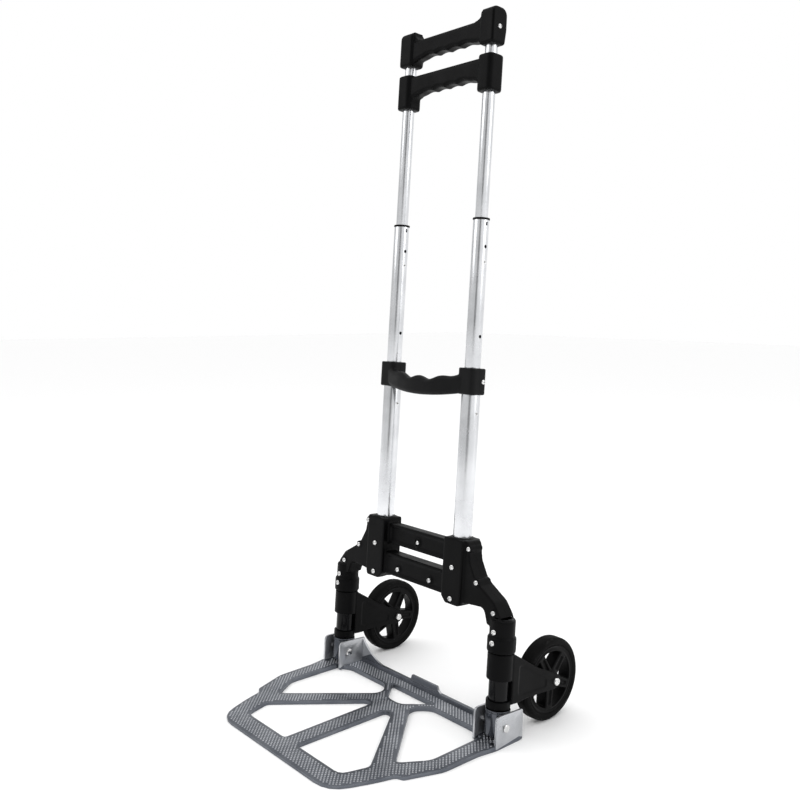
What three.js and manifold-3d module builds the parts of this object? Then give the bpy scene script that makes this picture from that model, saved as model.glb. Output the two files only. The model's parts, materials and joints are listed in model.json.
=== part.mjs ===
// Folding hand truck: telescoping handle, folding toe plate and wheels that swing in.
// Millimetres, +Z up. Origin on the floor below the toe plate's hinge line, mid width;
// the toe plate points along -Y and the wheels stand behind along +Y.

import * as THREE from 'three';
import { mergeVertices } from 'three/addons/utils/BufferGeometryUtils.js';
import Module from 'manifold-3d';

const wasm = await Module();
wasm.setup();

// ---- driving dimensions -------------------------------------------------------------

const degrees = Math.PI / 180;
const gap = 0.3;                 // between pieces that touch
const roundSides = 18;           // facets of a round piece
const smallSides = 12;           // facets of a pin, a screw or its hole
const headSides = 16;            // facets of a screw head
const past = 1;                  // how far a cutting tool runs past a face
const far = 900;                 // beyond every piece

const leanAngle = 3.7;           // the frame leans back, degrees
const hingeHeight = 28;          // hinge line above the floor
const tubeOffset = 5.5;          // tube and leg axes behind the hinge line
const tubeSpacing = 187;         // between the handle tubes
const legSpacing = 375;          // between the legs

const lowerTube = { radius: 15, wall: 1.5 };
const slideGap = { middle: 1, inner: 1.2 };     // round each tube that slides in the next
const middleTube = { radius: lowerTube.radius - lowerTube.wall - slideGap.middle, wall: 1.3 };
const innerTube = { radius: middleTube.radius - middleTube.wall - slideGap.inner, wall: 1.3 };
const legTube = { radius: 15.5, wall: 2, foot: 8, headroom: 12 };

// moulded walls round the tubes
const walls = { lugSide: 6, lugFront: 5, collar: 3.9, wideCollar: 6.3, carrySide: 2.2, carryFront: 2,
  releaseSide: 5.6, releaseFront: 6.4, topHandle: 5, foot: 3.8, knuckle: 4.5, lowKnuckle: 3.1 };

const lug = { bottom: 156, top: 259, seat: 161, corner: 7, chamfer: 9.5,
  halfWidth: lowerTube.radius + walls.lugSide, halfDepth: lowerTube.radius + walls.lugFront };
const crossbar = { upperBottom: 217, upperTop: 251, lowerBottom: 165.5, lowerTop: 202.5,
  front: 13.6, upperFront: 9, rear: 12, wall: 3 };
const arm = { halfDepth: 15, underside: 163, shoulder: 42 };
const collar = { radius: legTube.radius + walls.collar, wideRadius: legTube.radius + walls.wideCollar,
  bottom: 107.6, step: 129.6, top: 146, overlap: 10 };

const carryGrip = { bottom: 484, height: 41.3, lip: 4, bow: 17, drop: 9, barHeight: 31, barDepth: 17,
  barRise: 2, barInset: 6, bumps: 3, bump: 4.2, bumpSpan: 0.82, corner: 8, screwBehind: 8,
  halfWidth: lowerTube.radius + walls.carrySide, halfDepth: lowerTube.radius + walls.carryFront };
const band = { height: 5, wall: 0.7, lip: 1.8 };
const middleExposed = 234.3;     // carry grip to the top of the band, handle out
const innerExposed = 195.5;      // band to the release grip, handle out
const middleOverlap = 77.8;      // of the middle tube inside the lower one
const innerOverlap = 62;         // of the inner tube inside the middle one

const releaseGrip = { height: 57, barTop: 54.4, barBottom: 18, barHalfDepth: 11, travel: 11,
  corner: 9, pinDrop: 14, pinInset: 2,
  halfWidth: innerTube.radius + walls.releaseSide, halfDepth: innerTube.radius + walls.releaseFront };
const releaseGap = 15.2;         // between the two top grips
const topHandle = { height: 57.3, barTop: 41.6, barBottom: 6, barHalfDepth: 11, screwHeight: 26.5,
  bulge: 3, bulgeHeight: 24,
  halfWidth: innerTube.radius + walls.topHandle, halfDepth: innerTube.radius + walls.topHandle };
const fingers = { count: 4, depth: 2.4, steps: 6, margin: 26 };

const plug = { height: 27, flange: 2.5, sideGap: 0.3 };
const lockPin = { radius: 2.4, height: 7.4, travel: 3, backWall: 1.2 };
const upperLockHeight = 17.2;    // of the upper lock pin above the inner tube's end
const guideHoleDrop = 9.5;       // upper guide hole below the band's top
const middleHoleDrop = 184.6;    // half-way lock hole below the band's top
const pushRod = { radius: 3.5, pinRadius: 2.2, headroom: 6 };
const spring = { wire: 0.7, coils: 7, stepsPerCoil: 8, sideGap: 1.6 };

const hingePin = { radius: 4, headRadius: 6.2, head: 2.2 };
const wheelReach = 110.7;        // axle behind the leg axis
const wheel = { radius: 65, halfWidth: 12, tyreDepth: 12, rimDepth: 7, hubRadius: 14,
  hubHalfWidth: 13.6, spokes: 5, spokeWidth: 11, spokeHalfDepth: 8.5, firstSpoke: 35, sideGap: 0.6,
  treadGap: 3, sides: 32 };
const axle = { radius: 5, bushWall: 2, headRadius: 6.5, head: 4.1 };
const bracket = { upperTop: 106.8, upperBottom: 66.5, lowerTop: 35, lowerBottom: 23.6, armWall: 5.3,
  bossRadius: 11.6, webBottom: 30, webEnd: 40, legGap: 0.6,
  upperRadius: legTube.radius + walls.knuckle, lowerRadius: legTube.radius + walls.lowKnuckle };

const plate = { front: 273.5, halfFront: 139, frontCorner: 33, notchY: 177, notchInset: 27.5,
  notchStep: 11.5, bendY: 119.5, bendInset: 6.5, thickRear: 7, thickFront: 3.6, rimHeight: 12,
  rimRear: 35.5, rimWall: 6.5, ear: 3.4, earGap: 0.6, earFront: 22, earRear: 37, earTop: 50,
  gusset: 3.5, gussetReach: 58, tabHeight: 21.5, tabFoot: 44, tabTop: 31, tabWall: 4,
  rearSlotInset: 30, frontRim: 36.2, sideRim: 29, spoke: 33.4, rearBar: 4.7, corner: 9 };
const hub = { front: 68, windowRear: 5.5, windowFront: 36, sideWindowX: 40 };   // where the spokes meet
const footHole = { near: 12, size: 5 };          // small holes through the plate beside each foot
const footTop = 22;
const footLift = 1.8;            // the foot's underside above the lowest point of its round edge
const sweepGap = 0.7;            // between that round edge and the plate

const screw = { radius: 2.2, headRadius: 4.3, sideHeadRadius: 3.8, head: 2.2 };
const screwHeights = { lugUpper: 213.7, lugLower: 164.7, collarUpper: 138.2, collarLower: 122.4 };
const screwDepths = { lug: 34, collarUpper: 16, collarLower: 18 };

// ---- sizes that follow --------------------------------------------------------------

const lean = leanAngle * degrees;
const tubeX = tubeSpacing / 2;
const legX = legSpacing / 2;
const gripTop = carryGrip.bottom + carryGrip.height;
const bandTop = gripTop + middleExposed;
const releaseBottom = bandTop + innerExposed;
const handleBottom = releaseBottom + releaseGrip.height + releaseGap;
const handleTop = handleBottom + topHandle.height;
const middleFoot = gripTop - middleOverlap;
const innerFoot = bandTop - innerOverlap;
const axleY = tubeOffset + wheelReach;
const axleZ = (wheel.radius - hingeHeight + axleY * Math.sin(lean)) / Math.cos(lean);
const bushRadius = axle.radius + axle.bushWall + gap;
const springRadius = innerTube.radius - innerTube.wall - spring.wire - spring.sideGap;
const forkInside = wheel.hubHalfWidth + wheel.sideGap;
const forkOutside = forkInside + bracket.armWall;
const headSeat = forkOutside + gap;
const footRadius = legTube.radius + walls.foot;
const footSweep = hingeHeight - plate.thickRear - sweepGap;
const earInside = Math.max(footRadius, forkOutside) + plate.earGap;
const earOutside = earInside + plate.ear;
const plateHalfWidth = legX + earOutside;
const notchX = plateHalfWidth - plate.notchInset;
const bendX = plateHalfWidth - plate.bendInset;

// ---- small tools --------------------------------------------------------------------

const solid = (geometry) => {
  geometry.deleteAttribute('normal');
  geometry.deleteAttribute('uv');
  const merged = mergeVertices(geometry, 1e-4);
  return new wasm.Manifold(new wasm.Mesh({
    numProp: 3,
    vertProperties: new Float32Array(merged.attributes.position.array),
    triVerts: new Uint32Array(merged.index.array),
  }));
};

const join = (...parts) => parts.reduce((whole, next) => whole.add(next));
const cut = (whole, ...tools) => tools.reduce((rest, next) => rest.subtract(next), whole);

const box = (x0, x1, y0, y1, z0, z1) => solid(new THREE.BoxGeometry(x1 - x0, y1 - y0, z1 - z0)
  .translate((x0 + x1) / 2, (y0 + y1) / 2, (z0 + z1) / 2));

const rod = (axis, radius, from, to, sides = roundSides) => {
  const geometry = new THREE.CylinderGeometry(radius, radius, to - from, sides)
    .translate(0, (from + to) / 2, 0);
  if (axis === 'x') geometry.rotateZ(-Math.PI / 2);
  if (axis === 'z') geometry.rotateX(Math.PI / 2);
  return solid(geometry);
};

const pipe = (axis, outer, inner, from, to, sides = roundSides) =>
  cut(rod(axis, outer, from, to, sides), rod(axis, inner, from - past, to + past, sides));

const outline = (points) => new THREE.Shape(points.map(([x, y]) => new THREE.Vector2(x, y)));

// an outline whose corners are rounded; a point is [x, y] or [x, y, radius]
const roundedOutline = (points, radius) => {
  const shape = new THREE.Shape();
  points.forEach(([x, y, own], i) => {
    const corner = new THREE.Vector2(x, y);
    const before = new THREE.Vector2(...points.at(i - 1).slice(0, 2));
    const after = new THREE.Vector2(...points[(i + 1) % points.length].slice(0, 2));
    const room = Math.min(corner.distanceTo(before), corner.distanceTo(after)) / 2.1;
    const reach = Math.min(own ?? radius, room);
    const start = corner.clone().add(before.sub(corner).setLength(reach));
    const end = corner.clone().add(after.sub(corner).setLength(reach));
    if (i === 0) shape.moveTo(start.x, start.y);
    else shape.lineTo(start.x, start.y);
    shape.quadraticCurveTo(x, y, end.x, end.y);
  });
  return shape;
};

// prisms from an outline: seen from above (x, y), from the front (x, z) or from the side (y, z)
const extrude = (shape, depth, curveSegments = 3) =>
  new THREE.ExtrudeGeometry(shape, { depth, bevelEnabled: false, curveSegments });
const fromAbove = (shape, z0, z1, steps) => solid(extrude(shape, z1 - z0, steps).translate(0, 0, z0));
const fromFront = (shape, y0, y1, steps) =>
  solid(extrude(shape, y1 - y0, steps).rotateX(Math.PI / 2).translate(0, y1, 0));
const sideTurn = new THREE.Matrix4().makeBasis(
  new THREE.Vector3(0, 1, 0), new THREE.Vector3(0, 0, 1), new THREE.Vector3(1, 0, 0));
const fromSide = (shape, x0, x1, steps) =>
  solid(extrude(shape, x1 - x0, steps).applyMatrix4(sideTurn).translate(x0, 0, 0));

const roundedBlock = (halfX, halfY, radius) => roundedOutline(
  [[-halfX, -halfY], [halfX, -halfY], [halfX, halfY], [-halfX, halfY]], radius);

const mirrored = (body) => body.mirror([1, 0, 0]);
const both = (body) => body.add(mirrored(body));

// ---- materials ----------------------------------------------------------------------

const finish = (color, roughness, metalness = 0) =>
  new THREE.MeshStandardMaterial({ color, roughness, metalness });
const looks = {
  plastic: () => finish(0x0b0b0d, 0.38),
  grip: () => finish(0x17171a, 0.55),
  rubber: () => finish(0x0d0d0e, 0.7),
  aluminium: () => finish(0xd4d7dc, 0.25, 1),
  casting: () => finish(0x9aa2ad, 0.42, 1),
  steel: () => finish(0xc9ccd0, 0.3, 1),
  darkSteel: () => finish(0x2a2b2e, 0.35, 1),
};

const model = new THREE.Group();
const leaningFrame = new THREE.Group();
leaningFrame.position.set(0, 0, hingeHeight);
leaningFrame.rotation.x = -lean;
model.add(leaningFrame);

const addPiece = (group, name, body, material) => {
  const mesh = body.getMesh();
  const geometry = new THREE.BufferGeometry();
  geometry.setAttribute('position', new THREE.BufferAttribute(mesh.vertProperties, 3));
  geometry.setIndex(new THREE.BufferAttribute(mesh.triVerts, 1));
  geometry.computeVertexNormals();
  const piece = new THREE.Mesh(geometry, material);
  piece.name = name;
  group.add(piece);
};

// the same piece on the right (+X) and mirrored on the left
const addPair = (group, name, body, material) => {
  addPiece(group, `${name}_right`, body, material());
  addPiece(group, `${name}_left`, mirrored(body), material());
};

// the same piece on both sides, facing the same way
const addTwins = (group, name, body, spacing, material) => {
  addPiece(group, `${name}_right`, body.translate([spacing, 0, 0]), material());
  addPiece(group, `${name}_left`, body.translate([-spacing, 0, 0]), material());
};

// ---- frame shells: lugs, arms, leg collars and two crossbars, split front and rear -----

const frameOutline = () => {
  const { bottom, top, halfWidth, corner, chamfer } = lug;
  const inner = tubeX - halfWidth;
  const outer = tubeX + halfWidth;
  const kneeX = legX - collar.radius;
  const shoulderZ = top - arm.shoulder;
  return roundedOutline([
    [inner, bottom + chamfer], [inner + chamfer, bottom, 4], [outer - 3, bottom, 4],
    [outer, arm.underside, 5], [kneeX, arm.underside - 1, 8], [kneeX, collar.top - 2, 1],
    [legX + collar.radius, collar.top - 2, 1], [legX + collar.radius - 3, arm.underside + 8, 9],
    [legX - 10, arm.underside + 24, 12], [outer + 26, shoulderZ - 6, 14],
    [outer + 9, shoulderZ + 16, 12], [outer + 2, top, corner], [inner, top, 4],
  ], 3);
};

const lugFront = () => {
  const { bottom, top, halfWidth, chamfer } = lug;
  const inner = tubeX - halfWidth;
  const outer = tubeX + halfWidth;
  return roundedOutline([
    [inner, bottom + chamfer], [inner + chamfer, bottom, 4], [outer - 3, bottom, 4],
    [outer, arm.underside + 6, 4], [outer, top], [inner, top],
  ], 3);
};

const legCollars = () => join(
  rod('z', collar.radius, collar.step - past, collar.top + collar.overlap),
  rod('z', collar.wideRadius, collar.bottom, collar.step),
).translate([legX, tubeOffset, 0]);

const frameBody = () => {
  const middle = tubeOffset;
  const reach = tubeX - lug.halfWidth + crossbar.wall;
  const arms = fromFront(frameOutline(), middle - arm.halfDepth, middle + arm.halfDepth, 3);
  const lugs = fromFront(lugFront(), middle - lug.halfDepth, middle + lug.halfDepth, 3);
  const upper = box(-reach, reach, middle - crossbar.upperFront, middle + crossbar.rear,
    crossbar.upperBottom, crossbar.upperTop);
  const lower = box(-reach, reach, middle - crossbar.front, middle + crossbar.rear,
    crossbar.lowerBottom, crossbar.lowerTop);
  return join(both(join(arms, lugs, legCollars())), upper, lower);
};

const screwBores = ({ x, z, front, end }) =>
  both(rod('y', screw.radius + gap, front - past, end + past, smallSides).translate([x, 0, z]));

const frameHollows = () => {
  const tubeBore = rod('z', lowerTube.radius + gap, lug.seat, lug.top + past);
  const clearBore = rod('z', lowerTube.radius - lowerTube.wall, lug.bottom - past, lug.seat + past);
  const legTop = collar.top + legTube.headroom + 2;
  const legBore = rod('z', legTube.radius + gap, collar.bottom - past, legTop);
  const reach = tubeX - lug.halfWidth - crossbar.wall;
  const { wall } = crossbar;
  const pocket = (front, bottom, top) => box(-reach, reach, tubeOffset - front + wall,
    tubeOffset + crossbar.rear - wall, bottom + wall, top - wall);
  return [
    both(join(tubeBore, clearBore).translate([tubeX, tubeOffset, 0])),
    both(legBore.translate([legX, tubeOffset, 0])),
    pocket(crossbar.upperFront, crossbar.upperBottom, crossbar.upperTop),
    pocket(crossbar.front, crossbar.lowerBottom, crossbar.lowerTop),
    ...screwPlaces.map(screwBores),
  ];
};

// screws enter from the front; the lug bolts cross the tubes, the collar screws the leg tubes
const screwPlaces = [
  { name: 'lug_bolt_upper', x: tubeX, z: screwHeights.lugUpper, face: lug.halfDepth,
    depth: screwDepths.lug },
  { name: 'lug_bolt_lower', x: tubeX, z: screwHeights.lugLower, face: lug.halfDepth,
    depth: screwDepths.lug },
  { name: 'collar_screw_upper', x: legX, z: screwHeights.collarUpper, face: collar.radius,
    depth: screwDepths.collarUpper },
  { name: 'collar_screw_lower', x: legX, z: screwHeights.collarLower, face: collar.wideRadius,
    depth: screwDepths.collarLower },
].map((place) => {
  const front = tubeOffset - place.face;
  return { ...place, front, end: front + place.depth };
});

const makeFrame = () => {
  const whole = cut(frameBody(), ...frameHollows());
  const frontSpace = box(-far, far, -far, tubeOffset - gap / 2, 0, far);
  const rearSpace = box(-far, far, tubeOffset + gap / 2, far, 0, far);
  addPiece(leaningFrame, 'frame_front_shell', whole.intersect(frontSpace), looks.plastic());
  addPiece(leaningFrame, 'frame_rear_shell', whole.intersect(rearSpace), looks.plastic());
};

const makeScrews = () => {
  for (const place of screwPlaces) {
    const shank = rod('y', screw.radius, place.front - past, place.end, smallSides);
    const head = rod('y', screw.headRadius, place.front - screw.head - gap, place.front - gap, headSides);
    addPair(leaningFrame, place.name, join(shank, head).translate([place.x, 0, place.z]), looks.steel);
  }
};

// ---- tubes --------------------------------------------------------------------------

const acrossTube = 40;
const crossHole = (radius, height) => rod('x', radius, -acrossTube, acrossTube, smallSides)
  .translate([0, 0, height]);

const makeLowerTubes = () => {
  const { radius, wall } = lowerTube;
  const top = gripTop - carryGrip.lip - gap;
  const bolts = ['lugUpper', 'lugLower'].map((key) =>
    rod('y', screw.radius + gap, -acrossTube, acrossTube, smallSides)
      .translate([0, 0, screwHeights[key]]));
  const tube = cut(pipe('z', radius, radius - wall, lug.seat + gap, top), ...bolts,
    crossHole(lockPin.radius + gap, middleFoot + lockPin.height));
  addTwins(leaningFrame, 'lower_tube', tube.translate([0, tubeOffset, 0]), tubeX, looks.aluminium);
};

const makeMiddleTubes = () => {
  const { radius, wall } = middleTube;
  const tube = cut(pipe('z', radius, radius - wall, middleFoot, bandTop - band.lip - gap),
    crossHole(lockPin.radius + gap, middleFoot + lockPin.height),
    crossHole(lockPin.radius + gap, innerFoot + upperLockHeight),
    crossHole(lockPin.radius + gap, bandTop - guideHoleDrop),
    crossHole(lockPin.radius + gap, bandTop - middleHoleDrop));
  addTwins(leaningFrame, 'middle_tube', tube.translate([0, tubeOffset, 0]), tubeX, looks.aluminium);
  const ring = cut(rod('z', radius + band.wall + gap, bandTop - band.height, bandTop),
    rod('z', innerTube.radius + gap, bandTop - band.height - past, bandTop + past),
    rod('z', radius + gap, bandTop - band.height - past, bandTop - band.lip));
  addTwins(leaningFrame, 'tube_band', ring.translate([0, tubeOffset, 0]), tubeX, looks.plastic);
};

const slotHeight = () => pushRod.pinRadius * 2 + releaseGrip.travel + 2 * gap;
const releasePinZ = releaseBottom + releaseGrip.barTop - releaseGrip.pinDrop;

const makeInnerTubes = () => {
  const { radius, wall } = innerTube;
  const top = handleBottom + topHandle.barTop;
  const pinSlot = box(-pushRod.pinRadius - gap, pushRod.pinRadius + gap, -acrossTube, acrossTube,
    releasePinZ - pushRod.pinRadius - gap, releasePinZ - pushRod.pinRadius - gap + slotHeight());
  const tube = cut(pipe('z', radius, radius - wall, innerFoot, top), pinSlot,
    crossHole(lockPin.radius + gap, innerFoot + upperLockHeight),
    crossHole(screw.radius + gap, handleBottom + topHandle.screwHeight));
  addTwins(leaningFrame, 'inner_tube', tube.translate([0, tubeOffset, 0]), tubeX, looks.aluminium);
};

// ---- lock plugs in the tube ends, their lock pins, push rods and return springs --------

const lockPlug = (tube, outer, footZ, pinZ) => {
  const bore = tube.radius - tube.wall;
  const body = join(rod('z', bore - plug.sideGap, footZ - plug.flange, footZ + plug.height),
    rod('z', outer.radius - outer.wall - plug.sideGap, footZ - plug.flange - gap, footZ - gap));
  const pinHole = rod('x', lockPin.radius + gap, lockPin.backWall - bore, acrossTube, smallSides)
    .translate([0, 0, pinZ]);
  return cut(body, pinHole).translate([0, tubeOffset, 0]);
};

// the pin's blind end keeps its travel and a gap to the bottom of its hole in the plug
const lockPinBody = (tube, outer, pinZ) => {
  const tip = outer.radius - outer.wall - gap;
  const tail = lockPin.backWall - (tube.radius - tube.wall) + lockPin.travel + 2 * gap;
  return rod('x', lockPin.radius, tail, tip, smallSides).translate([0, tubeOffset, pinZ]);
};

const makeLocks = () => {
  const middlePinZ = middleFoot + lockPin.height;
  const upperPinZ = innerFoot + upperLockHeight;
  addTwins(leaningFrame, 'middle_lock_plug', lockPlug(middleTube, lowerTube, middleFoot, middlePinZ),
    tubeX, looks.grip);
  addTwins(leaningFrame, 'upper_lock_plug', lockPlug(innerTube, middleTube, innerFoot, upperPinZ),
    tubeX, looks.grip);
  addTwins(leaningFrame, 'middle_lock_pin', lockPinBody(middleTube, lowerTube, middlePinZ),
    tubeX, looks.steel);
  addTwins(leaningFrame, 'upper_lock_pin', lockPinBody(innerTube, middleTube, upperPinZ),
    tubeX, looks.steel);
};

class SpringPath extends THREE.Curve {
  constructor(bottom, length) {
    super();
    Object.assign(this, { bottom, length });
  }

  getPoint(t, target = new THREE.Vector3()) {
    const turn = t * spring.coils * 2 * Math.PI;
    return target.set(springRadius * Math.cos(turn), springRadius * Math.sin(turn),
      this.bottom + t * this.length);
  }
}

const coilSpring = (bottom, length) => {
  const section = new THREE.Shape();
  section.absarc(0, 0, spring.wire, 0, 2 * Math.PI);
  return solid(new THREE.ExtrudeGeometry(section, {
    steps: spring.coils * spring.stepsPerCoil,
    curveSegments: 3,
    extrudePath: new SpringPath(bottom, length),
  }));
};

const makeRelease = () => {
  const rodFoot = innerFoot + plug.height + 2 * gap;
  const rodTop = releasePinZ + pushRod.headroom;
  const eye = rod('y', pushRod.pinRadius + gap / 2, -acrossTube, acrossTube, smallSides);
  const rodBody = cut(rod('z', pushRod.radius, rodFoot, rodTop, smallSides),
    eye.translate([0, 0, releasePinZ]));
  addTwins(leaningFrame, 'push_rod', rodBody.translate([0, tubeOffset, 0]), tubeX, looks.darkSteel);
  const pinReach = releaseGrip.halfDepth - releaseGrip.pinInset;
  const pin = rod('y', pushRod.pinRadius, -pinReach, pinReach, smallSides);
  addTwins(leaningFrame, 'grip_pin', pin.translate([0, tubeOffset, releasePinZ]), tubeX, looks.steel);
  // the spring stands on the rod and bears up against the handle screw
  const springBottom = rodTop + spring.wire + gap;
  const springTop = handleBottom + topHandle.screwHeight - screw.radius - spring.wire - gap;
  const coil = coilSpring(springBottom, springTop - springBottom);
  addTwins(leaningFrame, 'return_spring', coil.translate([0, tubeOffset, 0]), tubeX, looks.steel);
};

// ---- the two grips at the top and the carry grip ---------------------------------------

// a bar between the tubes, its underside scalloped for the fingers
const fingerBar = (blockHalfWidth, low, high, halfDepth) => {
  const end = tubeX - blockHalfWidth + 3;
  const flat = end - fingers.margin;
  const points = [[-end, low - 3], [-flat - 14, low + 2]];
  const steps = fingers.count * fingers.steps;
  for (let i = 0; i <= steps; i += 1) {
    const t = i / steps;
    const wave = Math.abs(Math.sin(t * fingers.count * Math.PI));
    points.push([-flat + 2 * flat * t, low + 4 + fingers.depth * wave]);
  }
  points.push([flat + 14, low + 2], [end, low - 3], [end, high], [-end, high]);
  return fromFront(outline(points), tubeOffset - halfDepth, tubeOffset + halfDepth, 1);
};

const gripBlock = (size, bottom, top, corner) =>
  fromAbove(roundedBlock(size.halfWidth, size.halfDepth, corner), bottom, top, 4)
    .translate([tubeX, tubeOffset, 0]);

const makeTopHandle = () => {
  const size = topHandle;
  const crown = fromSide(roundedOutline([
    [tubeOffset - size.halfDepth, handleBottom], [tubeOffset + size.halfDepth, handleBottom],
    [tubeOffset + size.halfDepth + size.bulge, handleBottom + size.bulgeHeight, 8],
    [tubeOffset + size.halfDepth + size.bulge - 1, handleTop, 12],
    [tubeOffset - size.halfDepth, handleTop, 10],
  ], 2), tubeX - size.halfWidth, tubeX + size.halfWidth, 4);
  const bar = fingerBar(size.halfWidth, handleBottom + size.barBottom, handleBottom + size.barTop,
    size.barHalfDepth);
  const innerTop = handleBottom + size.barTop + gap;
  const sockets = rod('z', innerTube.radius + gap, handleBottom - past, innerTop)
    .translate([tubeX, tubeOffset, 0]);
  const screwZ = handleBottom + size.screwHeight;
  const screwHole = rod('x', screw.radius + gap, tubeX - 5, tubeX + acrossTube, smallSides)
    .translate([0, tubeOffset, screwZ]);
  const body = cut(join(both(crown), bar), both(join(sockets, screwHole)));
  addPiece(leaningFrame, 'top_handle', body, looks.plastic());
  const face = tubeX + size.halfWidth + gap;
  const fastener = join(rod('x', screw.radius, tubeX - 2, face + past, smallSides),
    rod('x', screw.sideHeadRadius, face, face + screw.head, headSides))
    .translate([0, tubeOffset, screwZ]);
  addPair(leaningFrame, 'handle_screw', fastener, looks.steel);
};

const makeReleaseGrip = () => {
  const size = releaseGrip;
  const top = releaseBottom + size.height;
  const blocks = gripBlock(size, releaseBottom, top, size.corner);
  const bar = fingerBar(size.halfWidth, releaseBottom + size.barBottom, releaseBottom + size.barTop,
    size.barHalfDepth);
  const bore = rod('z', innerTube.radius + gap, releaseBottom - past, top + past);
  const pinHole = rod('y', pushRod.pinRadius + gap, 1 - size.halfDepth, size.halfDepth - 1, smallSides)
    .translate([0, 0, releasePinZ]);
  const holes = join(bore, pinHole).translate([tubeX, tubeOffset, 0]);
  addPiece(leaningFrame, 'release_grip', cut(join(both(blocks), bar), both(holes)), looks.plastic());
};

// the carry grip's bar bows forward and down, with three bumps along its top
const carryBar = () => {
  const { bow, drop, barHeight, barDepth, bumps, bump, bumpSpan, halfDepth } = carryGrip;
  const bottom = carryGrip.bottom + carryGrip.barRise;
  const end = tubeX - carryGrip.barInset;
  const steps = 24;
  const sag = (x) => 1 - (x / end) ** 2;
  const front = [];
  const rear = [];
  const low = [];
  const high = [];
  for (let i = 0; i <= steps; i += 1) {
    const x = -end + (2 * end * i) / steps;
    const wave = Math.cos((bumps * Math.PI * x) / (end * bumpSpan));
    const y = tubeOffset - halfDepth - bow * sag(x);
    front.push([x, y]);
    rear.unshift([x, y + barDepth]);
    low.push([x, bottom - drop * sag(x)]);
    high.unshift([x, bottom + barHeight - drop * sag(x) - bump * (1 - wave * wave) * sag(x)]);
  }
  const plan = fromAbove(outline([...front, ...rear]), 0, far, 1);
  const face = fromFront(outline([...low, ...high]), -far, far, 1);
  return plan.intersect(face);
};

const makeCarryGrip = () => {
  const size = carryGrip;
  const sleeve = fromAbove(roundedBlock(size.halfWidth, size.halfDepth, size.corner),
    size.bottom, gripTop, 4);
  const bores = join(rod('z', lowerTube.radius + gap, size.bottom - past, gripTop - size.lip),
    rod('z', middleTube.radius + gap, size.bottom, gripTop + past));
  const place = [tubeX, tubeOffset, 0];
  const frontSpace = box(-far, far, -far, tubeOffset - gap / 2, 0, far);
  const rearSpace = box(0, far, tubeOffset + gap / 2, far, 0, far);
  const sleeves = both(sleeve.translate(place));
  const holes = both(bores.translate(place));
  addPiece(leaningFrame, 'carry_grip', cut(join(sleeves, carryBar()), holes).intersect(frontSpace),
    looks.grip());
  const clamp = cut(sleeves, holes).intersect(rearSpace);
  const screwZ = size.bottom + size.height / 2;
  const face = tubeX + size.halfWidth;
  const screwY = tubeOffset + size.screwBehind;
  const seat = rod('x', screw.radius + gap, face - 3, face + past, smallSides)
    .translate([0, screwY, screwZ]);
  addPair(leaningFrame, 'grip_clamp', cut(clamp, seat), looks.grip);
  const fastener = join(rod('x', screw.radius, face - 1.5, face + past, smallSides),
    rod('x', screw.sideHeadRadius, face + gap, face + gap + screw.head, headSides))
    .translate([0, screwY, screwZ]);
  addPair(leaningFrame, 'clamp_screw', fastener, looks.steel);
};

// ---- legs ---------------------------------------------------------------------------

const makeLegs = () => {
  const bolts = screwPlaces.filter((place) => place.x === legX).map((place) =>
    rod('y', screw.radius + gap, -acrossTube, 0, smallSides).translate([0, 0, place.z]));
  const tube = cut(pipe('z', legTube.radius, legTube.radius - legTube.wall,
    legTube.foot, collar.top + legTube.headroom), ...bolts);
  addTwins(leaningFrame, 'leg_tube', tube.translate([0, tubeOffset, 0]), legX, looks.darkSteel);
  // the foot's lower front edge is round about the hinge line, so the plate can swing past it
  const reach = 2 * footRadius;
  const roundEdge = cut(box(-reach, reach, -reach, 0, -reach, 0),
    rod('x', footSweep, -reach - past, reach + past));
  const post = rod('z', footRadius, footLift - footSweep, footTop).translate([0, tubeOffset, 0]);
  const socket = rod('z', legTube.radius + gap, legTube.foot - gap, footTop + past)
    .translate([0, tubeOffset, 0]);
  const body = cut(post, roundEdge, socket, rod('x', hingePin.radius + gap, -reach, reach));
  addTwins(leaningFrame, 'leg_foot', body, legX, looks.casting);
};

const makeHingePins = () => {
  const face = earOutside + gap;
  const pin = join(rod('x', hingePin.radius, -face - past, face + past),
    rod('x', hingePin.headRadius, face, face + hingePin.head),
    rod('x', hingePin.headRadius, -face - hingePin.head, -face));
  addTwins(leaningFrame, 'hinge_pin', pin, legX, looks.steel);
};

// ---- toe plate ----------------------------------------------------------------------

const plateOutline = () => {
  const half = [
    [plate.halfFront, -plate.front, plate.frontCorner], [notchX - 20.5, -plate.notchY - 36, 16],
    [notchX - plate.notchStep, -plate.notchY - 5, 3], [notchX, -plate.notchY, 3],
    [bendX, -plate.bendY, 8],
    [bendX + 1, -plate.earFront - 30, 6], [plateHalfWidth, -plate.earFront, 6],
    [plateHalfWidth, plate.earRear, 8],
    [legX - earOutside, plate.earRear, 2],
  ];
  const left = half.map(([x, y, r]) => [-x, y, r]).reverse();
  return roundedOutline([...half, ...left], 3);
};

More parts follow.
